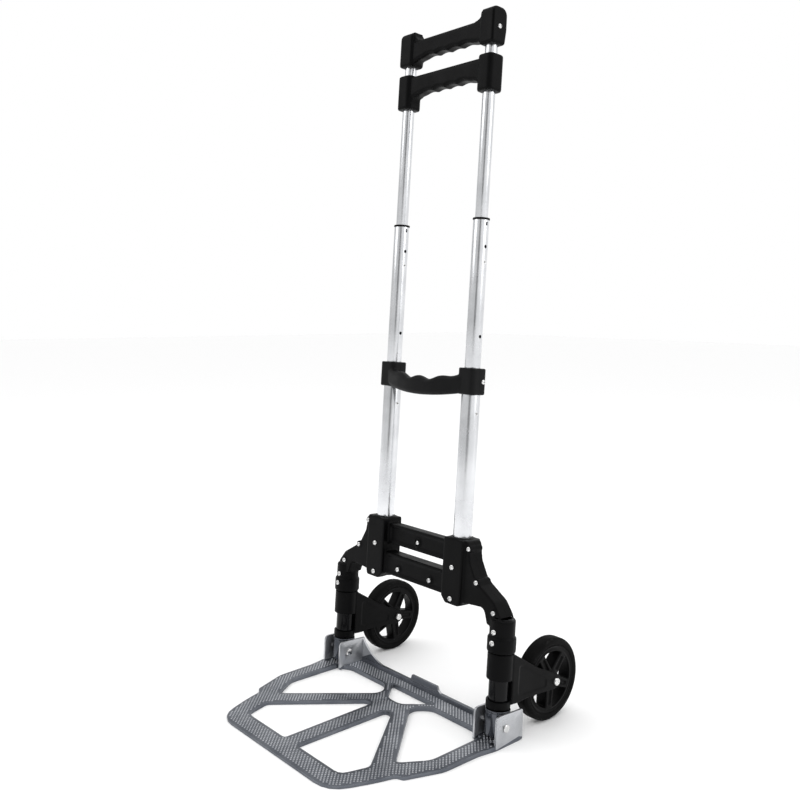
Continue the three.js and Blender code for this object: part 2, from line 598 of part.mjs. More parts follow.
const plateWindows = () => {
  const { frontRim, sideRim, spoke, front, rearBar, corner } = plate;
  const outerX = bendX - sideRim;
  const halfSpoke = spoke / 2;
  const frontWindow = [
    [halfSpoke, -front + frontRim, 6], [plate.halfFront - 20.5, -front + frontRim, 12],
    [plate.halfFront - 7.3, -front + frontRim + 43.3, 6], [halfSpoke + 14.8, -hub.front, 6],
    [halfSpoke, -hub.front, 6],
  ];
  const sideWindow = [
    [notchX - frontRim - 0.5, -plate.notchY + 16.5, corner], [outerX, -plate.bendY + 2, corner],
    [outerX, -rearBar - 14, 8], [outerX - 25, -rearBar, 8], [hub.sideWindowX + 18, -rearBar, 10],
    [hub.sideWindowX, -rearBar - 19, 8], [hub.sideWindowX, -rearBar - 34, 8],
  ];
  const centreWindow = [[16, -hub.windowFront, 10], [52, hub.windowRear, 8],
    [-52, hub.windowRear, 8], [-16, -hub.windowFront, 10]];
  const hole = (points) => fromAbove(roundedOutline(points, corner), -past, plate.earTop, 3);
  return [both(hole(frontWindow)), both(hole(sideWindow)), hole(centreWindow)];
};

const plateEars = () => {
  const inner = legX - earOutside;
  const side = roundedOutline([[-plate.earFront, 1], [plate.earRear, 1],
    [plate.earRear, plate.earTop - 3, 3], [-plate.earFront + 2, plate.earTop, 9]], 3);
  const cheeks = join(fromSide(side, inner, inner + plate.ear, 4),
    fromSide(side, plateHalfWidth - plate.ear, plateHalfWidth, 4));
  // a curved gusset runs from the inner cheek's rear edge down to the rear rim
  const gusset = new THREE.Shape();
  gusset.moveTo(inner + 1, 2);
  gusset.lineTo(inner + 1, plate.earTop - 3);
  const tip = inner - plate.gussetReach;
  gusset.quadraticCurveTo(inner - 18, plate.rimHeight + 6, tip, plate.rimHeight - 1);
  gusset.lineTo(tip, 2);
  const web = fromFront(gusset, plate.rimRear - plate.gusset, plate.rimRear, 6);
  return both(join(cheeks, web));
};

const makeToePlate = () => {
  const flat = fromAbove(plateOutline(), 0, plate.thickRear, 4);
  const slope = Math.atan2(plate.thickRear - plate.thickFront, plate.front - plate.earFront);
  const wedge = box(-far, far, -far, 0, 0, plate.earTop).rotate([slope / degrees, 0, 0])
    .translate([0, -plate.earFront, plate.thickRear]);
  const inner = legX - earOutside + 1;
  const rim = box(-inner, inner, plate.rimRear - plate.rimWall, plate.rimRear, 0, plate.rimHeight);
  const slotEnd = inner - plate.rearSlotInset;
  const rearSlot = box(-slotEnd, slotEnd, plate.rimRear, plate.earRear + past, -past, plate.earTop);
  const { tabFoot, tabTop, tabHeight, tabWall, rimHeight } = plate;
  const tab = fromFront(outline([[-tabFoot, rimHeight - 3], [tabFoot, rimHeight - 3],
    [tabTop + 2, tabHeight - 6], [tabTop, tabHeight], [-tabTop, tabHeight],
    [-tabTop - 2, tabHeight - 6]]), plate.rimRear - tabWall, plate.rimRear, 1);
  const pinHoles = both(rod('x', hingePin.radius + gap, legX - 2 * footRadius, legX + 2 * footRadius)
    .translate([0, 0, hingeHeight]));
  const smallHole = (x) => box(x - footHole.size / 2, x + footHole.size / 2, -plate.earFront + 1,
    -plate.earFront + 1 + footHole.size, -past, plate.rimHeight);
  const holeX = footHole.near + footHole.size / 2;
  const footHoles = both(join(smallHole(legX - holeX), smallHole(legX + holeX)));
  const body = cut(join(cut(flat, ...plateWindows(), wedge), rim, tab, plateEars()),
    rearSlot, pinHoles, footHoles);
  addPiece(model, 'toe_plate', body, looks.casting());
};

// ---- wheel brackets and wheels --------------------------------------------------------

const atAxle = (body) => body.translate([0, axleY, axleZ]);

const bracketSide = () => roundedOutline([
  [tubeOffset + 8, bracket.upperTop], [tubeOffset + 8, bracket.webBottom],
  [tubeOffset + 26, bracket.webBottom, 6], [tubeOffset + 48, axleZ - bracket.bossRadius, 10],
  [axleY, axleZ - bracket.bossRadius, 1], [axleY, axleZ + bracket.bossRadius, 1],
  [tubeOffset + 62, axleZ + 32, 12], [tubeOffset + 30, bracket.upperTop - 12, 10],
], 1);

const makeBrackets = () => {
  const sides = fromSide(bracketSide(), -forkOutside, forkOutside, 4);
  const boss = atAxle(rod('x', bracket.bossRadius, -forkOutside, forkOutside));
  const wheelRoom = join(
    box(-forkInside, forkInside, tubeOffset + bracket.webEnd, far, 0, bracket.upperTop + past),
    atAxle(rod('x', wheel.radius + wheel.treadGap, -forkInside, forkInside, wheel.sides)));
  const legRoom = rod('z', legTube.radius + bracket.legGap, 0, far).translate([0, tubeOffset, 0]);
  const knuckle = (radius, bottom, top) => rod('z', radius, bottom, top).translate([0, tubeOffset, 0]);
  const body = cut(join(sides, boss, knuckle(bracket.upperRadius, bracket.upperBottom, bracket.upperTop),
    knuckle(bracket.lowerRadius, bracket.lowerBottom, bracket.lowerTop)),
  wheelRoom, legRoom, atAxle(rod('x', axle.radius + gap, -acrossTube, acrossTube)));
  addTwins(leaningFrame, 'wheel_bracket', body, legX, looks.plastic);
  const head = (from, to) => rod('x', axle.headRadius, from, to);
  const shaft = atAxle(join(rod('x', axle.radius, -headSeat - past, headSeat + past),
    head(headSeat, headSeat + axle.head), head(-headSeat - axle.head, -headSeat)));
  addTwins(leaningFrame, 'wheel_axle', shaft, legX, looks.steel);
};

const turned = (profile) => {
  const points = profile.map(([x, r]) => new THREE.Vector2(r, x));
  points.push(points[0].clone());
  return solid(new THREE.LatheGeometry(points, wheel.sides).rotateZ(-Math.PI / 2));
};

const makeWheels = () => {
  const { radius, halfWidth, tyreDepth, rimDepth, hubRadius, hubHalfWidth } = wheel;
  const inside = radius - tyreDepth;
  const w = halfWidth;
  const tyre = turned([[-w + 1, inside + gap], [-w, inside + 3], [-w, radius - 4], [-w + 4, radius],
    [w - 4, radius], [w, radius - 4], [w, inside + 3], [w - 1, inside + gap]]);
  const rimRing = turned([[-w + 1, inside - rimDepth], [-w + 1, inside], [w - 1, inside],
    [w - 1, inside - rimDepth]]);
  const hub = rod('x', hubRadius, -hubHalfWidth, hubHalfWidth);
  const spokeLength = inside - rimDepth / 2;
  const spokes = Array.from({ length: wheel.spokes }, (_, i) =>
    box(-wheel.spokeHalfDepth, wheel.spokeHalfDepth, -wheel.spokeWidth / 2, wheel.spokeWidth / 2,
      0, spokeLength).rotate([(360 / wheel.spokes) * i + wheel.firstSpoke, 0, 0]));
  const rim = cut(join(rimRing, hub, ...spokes), rod('x', bushRadius + gap, -acrossTube, acrossTube));
  const bush = pipe('x', bushRadius, axle.radius + gap, -hubHalfWidth, hubHalfWidth);
  addTwins(leaningFrame, 'wheel_rim', atAxle(rim), legX, looks.plastic);
  addTwins(leaningFrame, 'wheel_tyre', atAxle(tyre), legX, looks.rubber);
  addTwins(leaningFrame, 'hub_bush', atAxle(bush), legX, looks.grip);
};

// ---- assembly -----------------------------------------------------------------------

makeFrame();
makeScrews();
makeLowerTubes();
makeMiddleTubes();
makeInnerTubes();
makeLocks();
makeRelease();
makeTopHandle();
makeReleaseGrip();
makeCarryGrip();
makeLegs();
makeHingePins();
makeToePlate();
makeBrackets();
makeWheels();

export default model;
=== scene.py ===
import json
import math

import bmesh
import bpy
from mathutils import Matrix, Vector
from mathutils.bvhtree import BVHTree


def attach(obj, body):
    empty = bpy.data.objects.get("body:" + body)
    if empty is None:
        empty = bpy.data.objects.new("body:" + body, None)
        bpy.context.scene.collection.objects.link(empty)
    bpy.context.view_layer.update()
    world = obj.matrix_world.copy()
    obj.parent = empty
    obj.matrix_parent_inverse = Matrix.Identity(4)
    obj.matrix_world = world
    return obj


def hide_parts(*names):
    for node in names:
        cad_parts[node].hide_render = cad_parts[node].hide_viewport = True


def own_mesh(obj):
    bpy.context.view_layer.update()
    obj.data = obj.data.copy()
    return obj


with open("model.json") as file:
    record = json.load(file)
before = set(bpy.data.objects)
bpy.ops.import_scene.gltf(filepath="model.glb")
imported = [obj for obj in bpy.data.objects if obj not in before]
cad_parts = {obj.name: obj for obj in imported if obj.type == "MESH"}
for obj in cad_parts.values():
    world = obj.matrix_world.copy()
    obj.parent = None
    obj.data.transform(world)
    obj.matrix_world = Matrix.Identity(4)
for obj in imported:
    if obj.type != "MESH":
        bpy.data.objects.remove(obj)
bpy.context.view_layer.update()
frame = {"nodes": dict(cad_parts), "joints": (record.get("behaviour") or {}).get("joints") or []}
cadNodes = frame["nodes"]
joints = {joint["name"]: joint for joint in frame["joints"]}
sides = {"right": 1, "left": -1}
mm = 0.001

# The tubes and legs lean back about the toe plate's hinge line. Pieces are drawn in millimetres
# in that leaning frame: x across, y to the rear, z up along the tubes.
hinge = Vector(joints["toe_fold"]["pos_m"])
upTube = -Vector(joints["upper_slide"]["axis"])
lean = math.atan2(upTube.y, upTube.z)
leaning = Matrix.Translation(hinge) @ Matrix.Rotation(-lean, 4, "X") @ Matrix.Scale(mm, 4)
upright = Matrix.Scale(mm, 4)


def nodeBox(name):
    toLeaning = leaning.inverted()
    points = [toLeaning @ vertex.co for vertex in cadNodes[name].data.vertices]
    low = Vector([min(point[i] for point in points) for i in range(3)])
    high = Vector([max(point[i] for point in points) for i in range(3)])
    return low, high, (low + high) / 2


lowerTubeLow, lowerTubeHigh, lowerTubeMiddle = nodeBox("lower_tube_right")
legLow, legHigh, legMiddle = nodeBox("leg_tube_right")
tubeX, tubeY = lowerTubeMiddle.x, lowerTubeMiddle.y
legX = legMiddle.x
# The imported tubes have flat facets, so their radii are taken from front to back, over two corners.
lowerRadius = (lowerTubeHigh.y - lowerTubeLow.y) / 2
legRadius = (legHigh.y - legLow.y) / 2

# Tools that make, join and cut meshes. Each works on a bmesh in millimetres.


def roundPath(points, steps=6):
    # corners given as (a, b) or (a, b, radius); rounded ones become arcs
    path = []
    for index, point in enumerate(points):
        here = Vector(point[:2])
        radius = point[2] if len(point) > 2 else 0
        back = Vector(points[index - 1][:2]) - here
        onward = Vector(points[(index + 1) % len(points)][:2]) - here
        halfAngle = back.angle(onward) / 2
        if not radius or halfAngle > math.radians(89):
            path.append(here)
            continue
        run = min(radius / math.tan(halfAngle), 0.49 * back.length, 0.49 * onward.length)
        radius = run * math.tan(halfAngle)
        inward = (back.normalized() + onward.normalized()).normalized()
        centre = here + inward * radius / math.sin(halfAngle)
        start = here + back.normalized() * run - centre
        end = here + onward.normalized() * run - centre
        sweep = math.atan2(start.x * end.y - start.y * end.x, start.dot(end))
        for step in range(steps + 1):
            turn = Matrix.Rotation(sweep * step / steps, 2)
            path.append(centre + turn @ start)
    return path


def prism(shape, path, low, high, facing):
    # an outline seen along one axis, carried from low to high
    spot = {"x": lambda a, b: (low, a, b), "y": lambda a, b: (a, low, b),
            "z": lambda a, b: (a, b, low)}[facing]
    along = Vector([high - low if axis == facing else 0 for axis in "xyz"])
    face = shape.faces.new([shape.verts.new(spot(point[0], point[1])) for point in path])
    made = bmesh.ops.extrude_face_region(shape, geom=[face])["geom"]
    moved = [item for item in made if isinstance(item, bmesh.types.BMVert)]
    bmesh.ops.translate(shape, verts=moved, vec=along)
    bmesh.ops.recalc_face_normals(shape, faces=shape.faces)


def block(shape, low, high, radius=0):
    # a box between two corners with rounded edges
    size = Vector(high) - Vector(low)
    place = Matrix.Translation((Vector(low) + Vector(high)) / 2) @ Matrix.Diagonal((*size, 1))
    made = bmesh.ops.create_cube(shape, size=1, matrix=place)["verts"]
    if radius:
        edges = list({edge for vertex in made for edge in vertex.link_edges})
        bmesh.ops.bevel(shape, geom=edges, offset=radius, segments=3, profile=0.5,
                        affect="EDGES", material=-1)


turns = {"x": Matrix.Rotation(math.radians(90), 4, "Y"),
         "y": Matrix.Rotation(math.radians(90), 4, "X"), "z": Matrix.Identity(4)}


def rod(shape, radius, low, high, centre, axis="z", segments=64):
    middle = (low + high) / 2
    spot = {"x": (middle, *centre), "y": (centre[0], middle, centre[1]), "z": (*centre, middle)}[axis]
    bmesh.ops.create_cone(shape, cap_ends=True, segments=segments, radius1=radius, radius2=radius,
                          depth=high - low, matrix=Matrix.Translation(spot) @ turns[axis])


def turned(shape, profile, place, segments=72):
    # a profile of (radius, height) spun about its z axis, then put in place
    start = len(shape.verts)
    ring = [shape.verts.new((radius, 0, height)) for radius, height in profile]
    closed = min(point[0] for point in profile) > 0
    pairs = list(zip(ring, ring[1:])) + ([(ring[-1], ring[0])] if closed else [])
    edges = [shape.edges.new(pair) for pair in pairs]
    bmesh.ops.spin(shape, geom=ring + edges, cent=(0, 0, 0), axis=(0, 0, 1), dvec=(0, 0, 0),
                   angle=math.tau, steps=segments, use_merge=True, use_duplicate=False)
    shape.verts.ensure_lookup_table()
    made = shape.verts[start:]
    bmesh.ops.remove_doubles(shape, verts=made, dist=0.001)
    shape.verts.ensure_lookup_table()
    made = shape.verts[start:]
    bmesh.ops.transform(shape, matrix=place, verts=made)
    faces = list({face for vertex in made for face in vertex.link_faces})
    bmesh.ops.recalc_face_normals(shape, faces=faces)


def bevelEdges(shape, test, width, segments=3):
    edges = [edge for edge in shape.edges if edge.is_manifold and test(edge)]
    bmesh.ops.bevel(shape, geom=edges, offset=width, segments=segments, profile=0.5,
                    affect="EDGES", clamp_overlap=True, material=-1)


def sharperThan(degrees):
    return lambda edge: edge.calc_face_angle(0) > math.radians(degrees)


def addMirror(shape):
    # the same again on the other side of x = 0
    made = bmesh.ops.duplicate(shape, geom=shape.verts[:] + shape.edges[:] + shape.faces[:])["geom"]
    copied = [item for item in made if isinstance(item, bmesh.types.BMVert)]
    bmesh.ops.scale(shape, vec=(-1, 1, 1), verts=copied)
    faces = [item for item in made if isinstance(item, bmesh.types.BMFace)]
    bmesh.ops.reverse_faces(shape, faces=faces)


def mirrored(shape, side):
    copy = shape.copy()
    if side < 0:
        bmesh.ops.scale(copy, vec=(-1, 1, 1), verts=copy.verts)
        bmesh.ops.reverse_faces(copy, faces=copy.faces)
    return copy


def joinShape(target, extra):
    # adds one shape's faces to another, which stays open for more
    mesh = bpy.data.meshes.new("extra")
    extra.to_mesh(mesh)
    target.from_mesh(mesh)
    bpy.data.meshes.remove(mesh)


def standIn(shape):
    # a passing object that modifiers can work on
    mesh = bpy.data.meshes.new("standIn")
    shape.to_mesh(mesh)
    thing = bpy.data.objects.new("standIn", mesh)
    bpy.context.scene.collection.objects.link(thing)
    return thing


def settle(thing, tools=()):
    # the stand-in's mesh with its modifiers applied, as a new bmesh
    shape = bmesh.new()
    shape.from_object(thing, bpy.context.evaluated_depsgraph_get())
    for used in (thing, *tools):
        mesh = used.data
        bpy.data.objects.remove(used)
        bpy.data.meshes.remove(mesh)
    return shape


def carve(shape, tools, operation="DIFFERENCE"):
    target = standIn(shape)
    cutters = [standIn(tool) for tool in tools]
    for cutter in cutters:
        modifier = target.modifiers.new("carve", "BOOLEAN")
        modifier.operation, modifier.solver, modifier.object = operation, "MANIFOLD", cutter
    return settle(target, cutters)


def mould(shape, voxel, smoothing):
    # joins overlapping solids into one moulded body with softened edges
    target = standIn(shape)
    modifier = target.modifiers.new("mould", "REMESH")
    modifier.mode, modifier.voxel_size = "VOXEL", voxel
    modifier = target.modifiers.new("soften", "SMOOTH")
    modifier.factor, modifier.iterations = 0.5, smoothing
    return settle(target)


def tool(make, *values, **more):
    # a new shape made by one of the functions above
    shape = bmesh.new()
    make(shape, *values, **more)
    return shape


def makePiece(name, shape, finish, body, nodes=(), space=leaning, sharp=34):
    mesh = bpy.data.meshes.new(name)
    shape.to_mesh(mesh)
    shape.free()
    mesh.transform(space)
    mesh.materials.append(finishes[finish])
    mesh.shade_smooth()
    mesh.set_sharp_from_angle(angle=math.radians(sharp))
    piece = bpy.data.objects.new(name, mesh)
    bpy.context.scene.collection.objects.link(piece)
    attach(piece, body)
    if nodes:
        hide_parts(*nodes)
    return piece


# The camera stands to the front right and looks slightly down.

camera = {"place": (1.0548, -0.95716, 0.64756), "heading": 48.74, "tilt": 3.66, "roll": 0.54,
          "lens": 39.78, "shiftX": 0.0014, "shiftY": -0.04665}
studio = {"floorSize": 30, "floorColour": (0.93, 0.93, 0.93), "background": 1.0, "fill": 1.06,
          "dimSide": 0.66, "brightSide": 0.95, "brightWay": (0.67, 0.74, 0),
          "shadeSpan": (-0.75, 0.55), "flagDepth": 0.72, "flagWay": (0.585, -0.809, 0),
          "flagSpan": (0.955, 0.99), "heightShare": 0.2, "aim": (0, 0, 0.45)}
softLights = [  # place, size, power
    {"name": "keyLight", "place": (-1.5, -1.9, 2.4), "size": (1.8, 1.8), "power": 15},
    {"name": "sideLight", "place": (2.5, 1.2, 1.9), "size": (1.4, 2.0), "power": 13},
    {"name": "topLight", "place": (0.2, 0.1, 3.2), "size": (2.4, 2.4), "power": 15},
]

print("camera, floor and light")
lensData = bpy.data.cameras.new("camera")
lensData.lens, lensData.sensor_width = camera["lens"], 36
lensData.shift_x, lensData.shift_y = camera["shiftX"], camera["shiftY"]
lensData.clip_end = 100
cameraObject = bpy.data.objects.new("camera", lensData)
cameraObject.matrix_world = (
    Matrix.Translation(camera["place"])
    @ Matrix.Rotation(math.radians(camera["heading"]), 4, "Z")
    @ Matrix.Rotation(math.radians(90 - camera["tilt"]), 4, "X")
    @ Matrix.Rotation(math.radians(camera["roll"]), 4, "Z"))
bpy.context.scene.collection.objects.link(cameraObject)
bpy.context.scene.camera = cameraObject

for light in softLights:
    lightData = bpy.data.lights.new(light["name"], "AREA")
    lightData.shape, lightData.energy = "RECTANGLE", light["power"]
    lightData.size, lightData.size_y = light["size"]
    lightObject = bpy.data.objects.new(light["name"], lightData)
    lightObject.location = light["place"]
    aim = Vector(studio["aim"]) - lightObject.location
    lightObject.rotation_euler = aim.to_track_quat("-Z", "Y").to_euler()
    bpy.context.scene.collection.objects.link(lightObject)

# The room is white. Glossy surfaces see it shaded from one side to the other, with an upright
# dark flag that draws the thin dark line down bright tubes.
world = bpy.data.worlds.new("studio")
bpy.context.scene.world = world
world.use_nodes = True
worldTree = world.node_tree
worldTree.nodes.clear()


def worldNode(kind, **settings):
    node = worldTree.nodes.new(kind)
    for label, value in settings.items():
        setattr(node, label, value)
    return node


def worldRange(value, fromMin, fromMax, toMin, toMax):
    node = worldNode("ShaderNodeMapRange", interpolation_type="SMOOTHSTEP")
    for socket, number in zip(node.inputs[1:5], (fromMin, fromMax, toMin, toMax)):
        socket.default_value = number
    worldTree.links.new(value, node.inputs["Value"])
    return node.outputs["Result"]


def towards(direction):
    node = worldNode("ShaderNodeVectorMath", operation="DOT_PRODUCT")
    node.inputs[1].default_value = Vector(direction).normalized()
    worldTree.links.new(level.outputs["Vector"], node.inputs[0])
    return node.outputs["Value"]


flatten = worldNode("ShaderNodeVectorMath", operation="MULTIPLY")
flatten.inputs[1].default_value = (1, 1, studio["heightShare"])
level = worldNode("ShaderNodeVectorMath", operation="NORMALIZE")
worldTree.links.new(worldNode("ShaderNodeTexCoord").outputs["Generated"], flatten.inputs[0])
worldTree.links.new(flatten.outputs["Vector"], level.inputs[0])
shade = worldRange(towards(studio["brightWay"]), *studio["shadeSpan"], studio["dimSide"],
                   studio["brightSide"])
flag = worldRange(towards(studio["flagWay"]), *studio["flagSpan"], 1, 1 - studio["flagDepth"])
glossyLevel = worldNode("ShaderNodeMath", operation="MULTIPLY")
worldTree.links.new(shade, glossyLevel.inputs[0])
worldTree.links.new(flag, glossyLevel.inputs[1])
lightPath = worldNode("ShaderNodeLightPath")
forGlossy = worldNode("ShaderNodeMix")
forGlossy.inputs[2].default_value = studio["fill"]
worldTree.links.new(lightPath.outputs["Is Glossy Ray"], forGlossy.inputs[0])
worldTree.links.new(glossyLevel.outputs[0], forGlossy.inputs[3])
forCamera = worldNode("ShaderNodeMix")
forCamera.inputs[3].default_value = studio["background"]
worldTree.links.new(lightPath.outputs["Is Camera Ray"], forCamera.inputs[0])
worldTree.links.new(forGlossy.outputs[0], forCamera.inputs[2])
background = worldNode("ShaderNodeBackground")
background.inputs["Color"].default_value = (1, 1, 1, 1)
worldTree.links.new(forCamera.outputs[0], background.inputs["Strength"])
worldTree.links.new(background.outputs[0], worldNode("ShaderNodeOutputWorld").inputs[0])

floorMesh = bpy.data.meshes.new("floor")
floorShape = bmesh.new()
bmesh.ops.create_grid(floorShape, x_segments=1, y_segments=1, size=studio["floorSize"] / 2)
floorShape.to_mesh(floorMesh)
floor = bpy.data.objects.new("floor", floorMesh)
floorFinish = bpy.data.materials.new("paleFloor")
floorFinish.use_nodes = True
floorShader = floorFinish.node_tree.nodes["Principled BSDF"]
floorShader.inputs["Base Color"].default_value = (*studio["floorColour"], 1)
floorShader.inputs["Roughness"].default_value = 0.9
floorShader.inputs["Specular IOR Level"].default_value = 0.1
floorMesh.materials.append(floorFinish)
bpy.context.scene.collection.objects.link(floor)
bpy.context.scene.view_settings.view_transform = "Standard"

# Surface effects that the finishes share, as node groups.


effectFit = {"speckleScale": 1400, "speckleShare": 0.35, "tintSpan": (0.5, 0.9),
             "smudgeSpan": (0.32, 0.68), "edgeSpan": (0.53, 0.66), "wearSpan": (0.42, 0.66),
             "lineStretch": (900, 900, 9), "tintScale": 22.0, "smudgeScale": 26.0,
             "wearScale": 170.0, "bumpDistance": 0.3 * mm}


def newGroup(name, inputs, outputs):
    group = bpy.data.node_groups.new(name, "ShaderNodeTree")
    for label, value in inputs.items():
        kind = "NodeSocketColor" if isinstance(value, tuple) else "NodeSocketFloat"
        socket = group.interface.new_socket(label, in_out="INPUT", socket_type=kind)
        socket.default_value = (*value, 1) if isinstance(value, tuple) else value
    for label, kind in outputs.items():
        group.interface.new_socket(label, in_out="OUTPUT", socket_type=kind)
    return group, group.nodes.new("NodeGroupInput"), group.nodes.new("NodeGroupOutput")


def newNoise(group, vector, scale, detail=3, roughness=0.55):
    noise = group.nodes.new("ShaderNodeTexNoise")
    noise.inputs["Detail"].default_value = detail
    noise.inputs["Roughness"].default_value = roughness
    group.links.new(vector, noise.inputs["Vector"])
    if isinstance(scale, (int, float)):
        noise.inputs["Scale"].default_value = scale
    else:
        group.links.new(scale, noise.inputs["Scale"])
    return noise.outputs["Fac"]


def newRange(group, value, fromMin, fromMax, toMin=0.0, toMax=1.0):
    node = group.nodes.new("ShaderNodeMapRange")
    sockets = {"Value": value, "From Min": fromMin, "From Max": fromMax, "To Min": toMin,
               "To Max": toMax}
    for label, given in sockets.items():
        if isinstance(given, (int, float)):
            node.inputs[label].default_value = given
        else:
            group.links.new(given, node.inputs[label])
    return node.outputs["Result"]


def objectPoints(group):
    return group.nodes.new("ShaderNodeTexCoord").outputs["Object"]


def makeTint():
    # two close shades in soft patches with a fine speckle
    group, given, result = newGroup("tint", {"Dark": (0, 0, 0), "Light": (1, 1, 1), "Scale": 20.0},
                                    {"Colour": "NodeSocketColor"})
    points = objectPoints(group)
    patches = newNoise(group, points, given.outputs["Scale"], 4)
    speckle = newNoise(group, points, effectFit["speckleScale"], 1)
    blend = group.nodes.new("ShaderNodeMath")
    blend.operation = "MULTIPLY_ADD"
    group.links.new(speckle, blend.inputs[0])
    blend.inputs[1].default_value = effectFit["speckleShare"]
    group.links.new(patches, blend.inputs[2])
    mix = group.nodes.new("ShaderNodeMix")
    mix.data_type = "RGBA"
    group.links.new(newRange(group, blend.outputs[0], *effectFit["tintSpan"]), mix.inputs["Factor"])
    group.links.new(given.outputs["Dark"], mix.inputs[6])
    group.links.new(given.outputs["Light"], mix.inputs[7])
    group.links.new(mix.outputs[2], result.inputs["Colour"])
    return group


def makeSmudges():
    # handled patches, where the roughness drifts between two values
    group, given, result = newGroup("smudges", {"Scale": 18.0, "Low": 0.3, "High": 0.5},
                                    {"Roughness": "NodeSocketFloat"})
    patches = newNoise(group, objectPoints(group), given.outputs["Scale"], 5, 0.62)
    drift = newRange(group, patches, *effectFit["smudgeSpan"], given.outputs["Low"],
                     given.outputs["High"])
    group.links.new(drift, result.inputs["Roughness"])
    return group


def makeEdgeWear():
    # a mask on outer edges, broken up by noise
    group, given, result = newGroup("edgeWear", {"Scale": 160.0, "Amount": 0.5},
                                    {"Mask": "NodeSocketFloat"})
    pointiness = group.nodes.new("ShaderNodeNewGeometry").outputs["Pointiness"]
    edges = newRange(group, pointiness, *effectFit["edgeSpan"])
    patches = newRange(group, newNoise(group, objectPoints(group), given.outputs["Scale"], 3),
                       *effectFit["wearSpan"])
    broken = group.nodes.new("ShaderNodeMath")
    broken.operation = "MULTIPLY"
    group.links.new(edges, broken.inputs[0])
    group.links.new(patches, broken.inputs[1])
    scaled = group.nodes.new("ShaderNodeMath")
    scaled.operation, scaled.use_clamp = "MULTIPLY", True
    group.links.new(broken.outputs[0], scaled.inputs[0])
    group.links.new(given.outputs["Amount"], scaled.inputs[1])
    group.links.new(scaled.outputs[0], result.inputs["Mask"])
    return group


def makeGrain():
    # the fine leathery texture of moulded or cast surfaces
    group, given, result = newGroup("grain", {"Scale": 900.0}, {"Height": "NodeSocketFloat"})
    points = objectPoints(group)
    cells = group.nodes.new("ShaderNodeTexVoronoi")
    group.links.new(points, cells.inputs["Vector"])
    group.links.new(given.outputs["Scale"], cells.inputs["Scale"])
    fine = newNoise(group, points, given.outputs["Scale"], 2)
    blend = group.nodes.new("ShaderNodeMath")
    blend.operation = "ADD"
    group.links.new(cells.outputs["Distance"], blend.inputs[0])
    group.links.new(fine, blend.inputs[1])
    group.links.new(blend.outputs[0], result.inputs["Height"])
    return group


def makeDrawnLines():
    # fine lines along the tubes, left by drawing them through a die
    group, given, result = newGroup("drawnLines", {"Fineness": 1.0}, {"Height": "NodeSocketFloat"})
    alongTube = group.nodes.new("ShaderNodeMapping")
    alongTube.inputs["Rotation"].default_value = (lean, 0, 0)
    group.links.new(objectPoints(group), alongTube.inputs["Vector"])
    stretch = group.nodes.new("ShaderNodeMapping")
    stretch.inputs["Scale"].default_value = effectFit["lineStretch"]
    group.links.new(alongTube.outputs[0], stretch.inputs["Vector"])
    lines = newNoise(group, stretch.outputs[0], given.outputs["Fineness"], 3)
    group.links.new(lines, result.inputs["Height"])
    return group


print("materials")
effects = {"tint": makeTint(), "smudges": makeSmudges(), "edgeWear": makeEdgeWear(),
           "grain": makeGrain(), "drawnLines": makeDrawnLines()}

